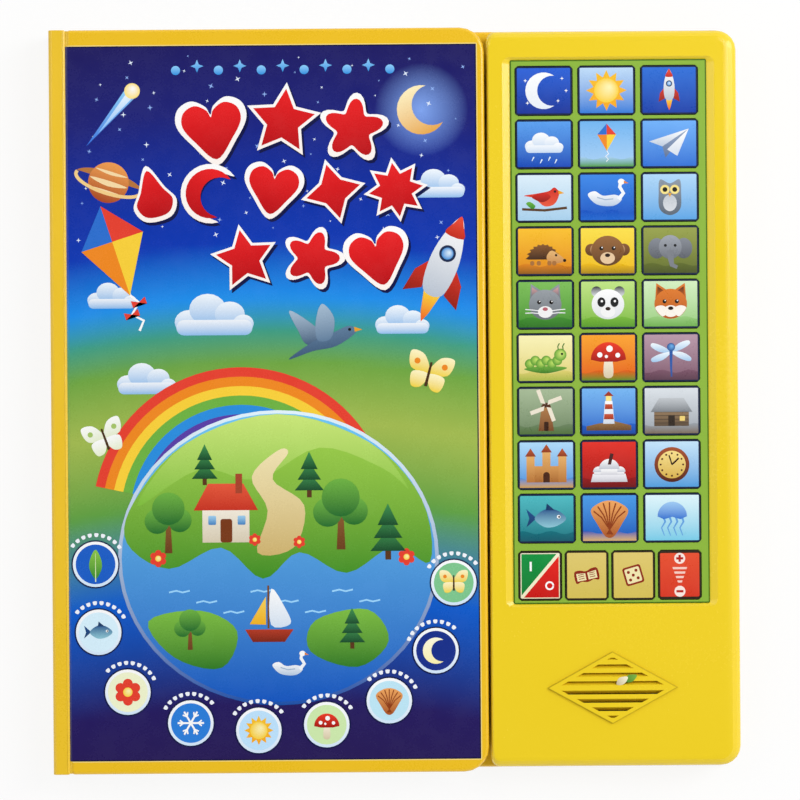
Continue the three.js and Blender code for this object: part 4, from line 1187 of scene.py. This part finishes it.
def elephant(ink):
    for x in (-0.66, 0.66):
        ink.area(circle(x, 0.1, 0.42, 1.2, 22), "5c6068", "868b94")
    ink.area(circle(0, 0.16, 0.56, 1.05, 28), "6c7078", "a2a7b0")
    ink.line([(0, 0), (0.02, -0.4), (0.08, -0.72), (0.34, -0.84)], 0.34, "7c8088", 0.5)
    for x in (-0.24, 0.24):
        ink.area(circle(x, 0.24, 0.07, 1, 12), "15171a")


def caterpillar(ink):
    outline = [(-1.05, -0.55), (0, -0.75), (1.05, -0.5), (0.4, -0.4), (-0.5, -0.42)]
    ink.area(smooth(outline), "3f7a2a", "6fae3c")
    for i in range(6):
        ink.ball(-0.78 + 0.27 * i, -0.28 + 0.16 * (i % 2), 0.24, "c6e86a", "4f962c")
    ink.ball(0.72, 0.16, 0.3, "d8f07c", "5aa030")
    ink.area(circle(0.8, 0.2, 0.06, 1, 12), "14200c")
    for x in (0.62, 0.86):
        ink.line([(x, 0.4), (x - 0.02, 0.58), (x + 0.06, 0.72)], 0.05, "3f7a2a")


def dragonfly(ink):
    wing = [(0, 0.0), (0.5, 0.2), (1, 0.12), (1, -0.08), (0.5, -0.12)]
    for turn in (28, -22, 158, 202):
        ink.area(smooth(spun(wing, turn, 0.25)), "9fc8ec", "f2faff")
    ink.line([(0, 0.35), (0, 0), (0, -0.5), (0.02, -0.95)], 0.17, "2458a8", 0.4)
    ink.ball(0, 0.5, 0.2, "6fb4f0", "1c4a90")


def windmill(ink):
    ink.area([(-0.38, -0.95), (0.38, -0.95), (0.22, 0.2), (-0.22, 0.2)], "7a4a26", "b07c4a")
    ink.area(arc(0, 0.2, 0.24, 0, 180, 10), "5b2f16")
    ink.area(rounded(-0.1, -0.95, 0.12, -0.5, 0.05), "3a2010")
    for turn in (20, 110, 200, 290):
        ink.area(spun([(0.08, 0), (0.85, 0), (0.85, 0.2), (0.2, 0.2)], turn, 0.3), "efe6d2")
    ink.area(circle(0, 0.3, 0.08, 1, 10), "4a2812")


def lighthouse(ink):
    outline = [(-1.1, -0.95), (1.1, -0.95), (1.1, -0.7), (0.3, -0.5), (-0.5, -0.6), (-1.1, -0.74)]
    ink.area(outline, "6b4a2a", "9c7446")
    tower = [(-0.28, -0.62), (0.28, -0.62), (0.18, 0.5), (-0.18, 0.5)]
    ink.area(tower, "d5dde8", "ffffff")
    for low, high in [(-0.4, -0.14), (0.1, 0.34)]:
        left, right = 0.26 - 0.09 * (low + 0.6), 0.26 - 0.09 * (high + 0.6)
        ink.area([(-left, low), (left, low), (right, high), (-right, high)], "a3341c", "cf5434")
    ink.area(rounded(-0.14, 0.5, 0.14, 0.74, 0.03), "fbe88a")
    ink.area([(-0.24, 0.74), (0.24, 0.74), (0, 0.98)], "a3341c")


def cabin(ink):
    ink.area(box(-0.85, -0.75, 0.85, 0.0), "5c4a38", "94795a")
    for y in (-0.6, -0.42, -0.24, -0.06):
        ink.line([(-0.85, y), (0, y), (0.85, y)], 0.03, "43352a")
    ink.area([(-1.02, -0.06), (1.02, -0.06), (0.6, 0.62), (-0.6, 0.62)], "7d8288", "c2c7cc")
    ink.area(rounded(-0.16, -0.75, 0.16, -0.22, 0.04), "32261c")
    ink.area(rounded(0.4, -0.5, 0.66, -0.26, 0.03), "f2d478")


def castle(ink):
    ink.area(box(-0.8, -0.85, 0.8, -0.05), "a8662c", "d89a54")
    for x, top in ((-0.78, 0.42), (0, 0.62), (0.78, 0.42)):
        ink.area(box(x - 0.2, -0.85, x + 0.2, top), "b87434", "e8b068")
        ink.area([(x - 0.27, top), (x + 0.27, top), (x, top + 0.4)], "8f3a1c", "c25a2c")
    ink.area(arc(0, -0.5, 0.16, 0, 180, 8) + [(-0.16, -0.85), (0.16, -0.85)], "4a2410")


def observatory(ink):
    ink.area([(-0.9, -0.85), (0.9, -0.85), (0.8, -0.45), (-0.8, -0.45)], "c9c9d2", "f4f4f8")
    for x, y, radius in ((-0.52, -0.45, 0.28), (0.52, -0.45, 0.28), (0, -0.3, 0.5)):
        ink.area(box(x - radius * 0.8, -0.5, x + radius * 0.8, y + 0.1), "d2d2da", "ffffff")
        ink.area(arc(x, y + 0.08, radius, 0, 180, 14), "c2c6d2", "ffffff")
    ink.area([(-0.07, 0.0), (0.09, 0.0), (0.22, 0.52), (0.06, 0.56)], "4a2020")


def clock(ink):
    ink.area(circle(0, -0.02, 0.86, 1, 32), "4f1c0c", "a8522c")
    ink.area(circle(0, -0.02, 0.68, 1, 32), "d8b04a", "f8e08c")
    for i in range(12):
        a = math.radians(i * 30)
        ink.area(circle(0.55 * math.sin(a), -0.02 + 0.55 * math.cos(a), 0.05, 1, 8), "4f1c0c")
    ink.line([(0, -0.02), (0.18, 0.14), (0.34, 0.3)], 0.08, "2c1008")
    ink.line([(0, -0.02), (-0.06, 0.2), (-0.14, 0.44)], 0.06, "2c1008")


def jellyfish(ink):
    for x in (-0.45, -0.15, 0.15, 0.45):
        ink.line([(x, 0.1), (x + 0.1, -0.2), (x - 0.08, -0.5), (x + 0.06, -0.88)], 0.12, "5f9fe0", 0.3)
    ink.area(arc(0, 0.06, 0.72, 0, 180, 20) + [(-0.4, -0.08), (0, 0.04), (0.4, -0.08)], "2a6fd0", "9fccf6")


def raindrops(ink):
    cloud(ink)
    for x, y in [(-0.5, -0.62), (-0.1, -0.74), (0.3, -0.62), (0.62, -0.74)]:
        ink.line([(x, y), (x - 0.05, y - 0.1), (x - 0.1, y - 0.2)], 0.07, "e4f4ff", 0.4)


def night(ink):
    for x, y in [(-0.9, 0.5), (0.9, 0.6), (0.7, -0.5), (-0.8, -0.6), (1.1, 0.0)]:
        ink.area([(x + 0.1 * px, y + 0.1 * py) for px, py in star(4, 0.3)], "ffffff")
    moon(ink, "e8eef8", "ffffff")


def red_bird(ink):
    bird(ink)
    ink.line([(-1.1, -0.56), (0, -0.62), (1.1, -0.5)], 0.12, "5b3a1c")
    ink.area(smooth([(-0.6, -0.55), (-0.9, -0.3), (-0.72, -0.2), (-0.45, -0.4)]), "2f8a2e", "6fb443")


def monkey(ink):
    for x in (-0.8, 0.8):
        ink.area(circle(x, 0.05, 0.3, 1, 20), "5f3c1e", "8a5a34")
    face(ink, "9c6a3c", "5f3c1e", "d8a878", "e8c8a0", ear_height=0.05, ear_size=0.3)


def cat(ink):
    face(ink, "9aa0a6", "6c7278", "d8a0a0", "f2f2f2", nose="b8606c", pointed=True)
    for side in (-1, 1):
        for y in (-0.3, -0.44):
            whisker = [(0.3 * side, y), (0.62 * side, y + 0.04), (0.98 * side, 1.3 * y + 0.16)]
            ink.line(whisker, 0.045, "f4f6f8")


def panda(ink):
    face(ink, "ffffff", "dfe3e6", "16181a", "f4f4f4")
    for x in (-0.32, 0.32):
        ink.area(circle(x, 0.1, 0.2, 1.2, 16), "16181a")
    for x in (-0.3, 0.34):
        ink.area(circle(x, 0.15, 0.06, 1, 10), "ffffff")


def fox(ink):
    face(ink, "e07c2c", "b85a18", "4a2a18", "fbf4ea", pointed=True)
    for side in (-1, 1):
        outline = [(0.12 * side, -0.3), (0.42 * side, -0.08), (0.76 * side, -0.2), (0.4 * side, -0.62)]
        ink.area(smooth(outline), "fbf4ea")


# Two colours of ground, the motif, and the colour of a low rise below it where there is one
KEY_PICTURES = [
    ("0c2f98", "2a62d8", night, None),
    ("2f7ad8", "bfdcf8", sun, None),
    ("0c3ca8", "2a6fd8", rocket, None),
    ("1048b8", "5aa0f0", raindrops, None),
    ("a8d0f4", "6fb4f0", kite, "4f9a3c"),
    ("2a6fd4", "6fb0f8", paper_plane, None),
    ("a8d0ec", "dceefa", red_bird, None),
    ("0c50c0", "3a88e8", swan, "1a68d0"),
    ("5aa4e4", "b0d8f8", owl, None),
    ("e08410", "fbc22c", hedgehog, "8f5a14"),
    ("f0bc08", "fbe04a", monkey, "a88414"),
    ("5f6c24", "98a24c", elephant, "4a5420"),
    ("3f8f2c", "7fc05a", cat, "2f7422"),
    ("78b838", "c0e484", panda, "5a9a2c"),
    ("98cc7c", "d4eec0", fox, "6fae50"),
    ("e0d070", "fbf4b8", caterpillar, "a8b848"),
    ("e45a0c", "fba42c", mushroom, "5a8a24"),
    ("7c5468", "b898a8", dragonfly, "5a3c4c"),
    ("6c8460", "a8bc98", windmill, "4f7038"),
    ("1c5fc8", "78b8f4", lighthouse, "1448a0"),
    ("98a0a8", "dce2e8", cabin, "7c6a58"),
    ("3a8cdc", "b0dcfa", castle, "d0a050"),
    ("980a0e", "e43024", observatory, "6c0a0c"),
    ("4f9cdc", "c4e4fa", clock, None),
    ("08707c", "4fbcc4", fish, "0c5868"),
    ("0c50b8", "4a9ce8", shell, "d8b070"),
    ("78cce8", "dff6fc", jellyfish, None),
]
# Each motif is drawn at this x, y and size. The two tall ones are set higher and smaller.
PICTURE_PLACE = (0, 0, 7.8)
TALL_PICTURES = {kite: (0, 1.9, 5.8), rocket: (0, 0.9, 7.0)}
TILE_CORNER = 0.55
PICTURE_CORNER = 0.4
KEYS_ACROSS = 3
PICTURE_KEY_WIDTH, CONTROL_KEY_WIDTH = 21.65, 16.21
KEY_HEIGHT = 18.6
FILM_RISE = 0.006


def key_tile(node, cap, edge, low, high, corner, tuck=KEY_BEVEL):
    """A key's cap with eased edges and the outlined ground of its print, with the ground's half sizes."""
    rounded_copy(node, node + "_cap", node, cap, KEY_BEVEL)
    foot, head = (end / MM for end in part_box(node))
    ink = Ink(head.z + FILM_RISE, ((foot.x + head.x) / 2, (foot.y + head.y) / 2))
    width = PICTURE_KEY_WIDTH if node.startswith("picture") else CONTROL_KEY_WIDTH
    reach_x = width / 2 - KEY_BEVEL
    reach_y = KEY_HEIGHT / 2 - tuck
    ink.area(rounded(-reach_x, -reach_y, reach_x, reach_y, TILE_CORNER), edge)
    inner_x, inner_y = reach_x - OUTLINE, reach_y - OUTLINE
    ink.area(rounded(-inner_x, -inner_y, inner_x, inner_y, corner), low, high)
    return ink, inner_x, inner_y


for place, (low_colour, high_colour, motif, rise) in enumerate(KEY_PICTURES):
    row, column = place // KEYS_ACROSS + 1, place % KEYS_ACROSS + 1
    node = f"picture_key_r{row}c{column}"
    ink, inner_x, inner_y = key_tile(node, key_cap, KEY_EDGE, low_colour, high_colour, PICTURE_CORNER)
    if rise:
        crest = [(inner_x * (1 - i / 6), -inner_y * (0.62 - 0.07 * math.sin(i + row))) for i in range(13)]
        ink.area([(-inner_x, -inner_y), (inner_x, -inner_y), *crest], rise, low_colour)
    ink.put(*TALL_PICTURES.get(motif, PICTURE_PLACE), 0, 4)
    motif(ink)
    ink.sheet(node + "_picture", node, key_film)


# Control keys
# Caps of the same plastic and film as the picture keys: on and off on a key split corner to corner in
# green and red, two cream keys for study and game, and a red rocker for the sound level.
DARK_RED = "8f2208"
KEY_LINE = "2a1e0c"
CONTROL_CORNER = 0.5
CREAM, CREAM_TOP, PAGE_CREAM = "d6c056", "e0ca70", "f2e6b0"
ROCKER_TUCK = 0.45
EDGE = 0.35
DIAGONAL = 1.2
brown_cap = finish("brown_key_cap", KEY_LINE, 0.35, shade=0.06)


def control_tile(node, low, high, tuck=KEY_BEVEL):
    return key_tile(node, brown_cap, KEY_LINE, low, high, CONTROL_CORNER, tuck)


ink, reach_x, reach_y = control_tile("power_key", "f2ecc8", "f6f0d2")
side, head = reach_x - EDGE, reach_y - EDGE
ink.area([(-side, -reach_y + DIAGONAL), (reach_x - DIAGONAL, head), (-side, head)], "087c32", "0c9440")
ink.area([(-reach_x + DIAGONAL, -head), (side, -head), (side, reach_y - DIAGONAL)], "c8120c", "ea2216")
ink.put(-3.6, 3.6, 1, 0, 6)
ink.area(box(-0.4, -1.8, 0.4, 1.8), "ffffff")
ink.put(3.6, -3.8, 1, 0, 6)
ink.area(arc(0, 0, 1.7, 0, 352, 24) + arc(0, 0, 1.05, 352, 0, 24), "ffffff")
ink.sheet("power_key_print", "power_key", key_film)

ink, _, _ = control_tile("study_key", CREAM, CREAM_TOP)
ink.put(0, 0, 4.6, 12, 5)
BOOK_HALF = [(0, -0.55), (0.5, -0.42), (0.98, -0.5), (0.98, 0.42), (0.5, 0.52), (0, 0.36)]
ink.area(smooth(mirrored(BOOK_HALF), 3), DARK_RED)
for side in (1, -1):
    outline = [(side * 0.09, -0.36), (side * 0.84, -0.34), (side * 0.84, 0.3), (side * 0.09, 0.22)]
    ink.area(outline, PAGE_CREAM)
for y in (-0.18, 0, 0.16):
    for x in (-0.7, 0.22):
        ink.line([(x, y), (x + 0.24, y), (x + 0.48, y)], 0.06, DARK_RED)
ink.sheet("study_key_print", "study_key", key_film)

ink, _, _ = control_tile("game_key", CREAM, CREAM_TOP)
ink.put(0, 0, 4.2, 16, 5)
ink.area(rounded(-0.85, -0.85, 0.85, 0.85, 0.22), DARK_RED)
ink.area(rounded(-0.68, -0.68, 0.68, 0.68, 0.14), PAGE_CREAM)
for x, y in mirrored([(-0.36, -0.36), (0.36, 0.36), (0, 0)]):
    ink.area(circle(x, y, 0.14, 1, 16), DARK_RED)
ink.sheet("game_key_print", "game_key", key_film)

ink, _, _ = control_tile("volume_key", "d8361e", "e8502e", ROCKER_TUCK)
for side in (1, -1):
    ink.put(0, side * 6.3, 1, 0, 4)
    ink.area(circle(0, 0, 2.1, 1, 28), "fbe8e0")
    ink.area(box(-1.35, -0.45, 1.35, 0.45), "b81c10")
    if side > 0:
        ink.area(box(-0.45, -1.35, 0.45, 1.35), "b81c10")
for i in range(4):
    width = 0.75 + 0.6 * i
    ink.put(0, -2.55 + 1.7 * i, 1, 0, 4)
    ink.area([(-width, -0.42), (width, -0.42), (width + 0.25, 0.42), (-width - 0.25, 0.42)], "f8d0c4")
ink.sheet("volume_key_print", "volume_key", key_film)


# Speaker, battery and circuit pieces
# The works between the two shells: a painted steel speaker with a paper cone, a rubber dome mat, a circuit
# board with its chip, and two cells on plated spring contacts. Little of them shows through the grille.
steel = finish("plated_steel", "b9bcc0", 0.32, shade=0.12, grain=2200, Metallic=1.0)
repaint("speaker_basket", finish("black_painted_steel", "222426", 0.5, shade=0.15))
repaint("speaker_magnet", finish("grey_ferrite", "38393d", 0.6, shade=0.2))
repaint("speaker_cone", finish("black_cone_paper", "26221e", 0.85, shade=0.2, grain=3000, relief=0.02))
repaint("rubber_keypad", finish("grey_rubber", "8a8c90", 0.75, shade=0.1))
repaint("circuit_board", finish("green_circuit_board", "1f6a3a", 0.45, shade=0.15))
repaint("sound_chip", finish("black_chip", "1b1b1d", 0.5, shade=0.15))
cell_jacket = finish("cell_jacket", "3f434b", 0.35, shade=0.1, Metallic=0.6)
for node in ("battery_1", "battery_2"):
    repaint(node, cell_jacket)
for node in ("battery_bridge_contact", "battery_left_contact", "battery_right_contact"):
    repaint(node, steel)


# Screws
# Small plated steel cross-head screws, driven in from below: six hold the two shells together, one holds
# the battery door.
SCREW = {
    "sides": 32,
    "face_radius": 1.8 * MM,
    "head_radius": 2.25 * MM,
    "head_height": 1.3 * MM,
    "edge_height": 0.4 * MM,
    "shank_radius": 1.1 * MM,
    "cross_length": 2.7 * MM,
    "cross_width": 0.6 * MM,
    "cross_depth": 0.85 * MM,
}


def screw_tree():
    """A round head with a cross in its face and a shank above it. Foot is the middle of its face."""
    sizes = ["Length", "Face Radius", "Head Radius", "Head Height", "Edge Height", "Shank Radius"]
    sizes += ["Cross Length", "Cross Width", "Cross Depth"]
    sockets = {"Start": "Geometry", "Foot": "Vector", "Sides": "Int", **dict.fromkeys(sizes, "Float")}
    tree, size = empty_tree("cross_head_screw", sockets)
    exact = {"kind": "GeometryNodeMeshBoolean", "solver": "EXACT"}

    def moved(shape, offset):
        inputs = {"Geometry": shape, "Translation": offset}
        return add_node(tree, "GeometryNodeTransform", inputs).outputs[0]

    turned = add_node(tree, operation="UNION", **exact)
    head_rest = reckon(tree, "SUBTRACT", size["Head Height"], size["Edge Height"])
    shank_rest = reckon(tree, "SUBTRACT", size["Length"], size["Head Height"])
    for below, above, depth, height in [
        (size["Face Radius"], size["Head Radius"], size["Edge Height"], 0),
        (size["Head Radius"], size["Head Radius"], head_rest, size["Edge Height"]),
        (size["Shank Radius"], size["Shank Radius"], shank_rest, size["Head Height"]),
    ]:
        inputs = {"Vertices": size["Sides"], "Radius Bottom": below, "Radius Top": above, "Depth": depth}
        part = add_node(tree, "GeometryNodeMeshCone", inputs).outputs["Mesh"]
        lift = add_node(tree, "ShaderNodeCombineXYZ", {"Z": height}).outputs[0]
        tree.links.new(moved(part, lift), turned.inputs["Mesh 2"])
    cut = add_node(tree, inputs={"Mesh 1": turned.outputs["Mesh"]}, operation="DIFFERENCE", **exact)
    for along, over in (("Cross Length", "Cross Width"), ("Cross Width", "Cross Length")):
        reach = {"X": size[along], "Y": size[over], "Z": reckon(tree, "MULTIPLY", size["Cross Depth"], 2)}
        extent = add_node(tree, "ShaderNodeCombineXYZ", reach).outputs[0]
        slot = add_node(tree, "GeometryNodeMeshCube", {"Size": extent}).outputs["Mesh"]
        tree.links.new(slot, cut.inputs["Mesh 2"])
    whole = moved(cut.outputs["Mesh"], size["Foot"])
    crisp = add_node(tree, "GeometryNodeSetShadeSmooth", {0: whole, "Shade Smooth": False})
    return end_tree(tree, size, crisp.outputs[0])


CROSS_HEAD_SCREW = screw_tree()
for node in ["battery_door_screw", *[f"case_screw_{i}" for i in range(1, 7)]]:
    low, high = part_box(node)
    place = {"foot": ((low.x + high.x) / 2, (low.y + high.y) / 2, low.z), "length": high.z - low.z}
    start = bpy.data.meshes.new(node + "_start")
    screw = grown(node + "_turned", start, CROSS_HEAD_SCREW, finish=steel, **place, **SCREW)
    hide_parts(node)
    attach(screw, "case")


# Speck on the grille
# A leaf-shaped scrap of paper, green at one end and cream at the other, caught between the louvres.
grille_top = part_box("upper_housing")[1].z / MM
speck = Ink(grille_top + 0.03)
SPECK_ENDS = [(89.0, -107.0, -64, "3f7f1c", "7cb43c"), (85.7, -107.9, -58, "c8b890", "fbf6d8")]
SPECK_OUTLINE = smooth([(0, -1), (0.5, -0.4), (0.46, 0.35), (0, 1), (-0.44, 0.35), (-0.55, -0.3)])
for i, (x, y, turn, foot, tip) in enumerate(SPECK_ENDS):
    speck.put(x, y, 2.6, turn, 1 + 2 * i)
    speck.area(SPECK_OUTLINE, foot, tip)
speck.sheet("paper_speck", "case", paper_print)
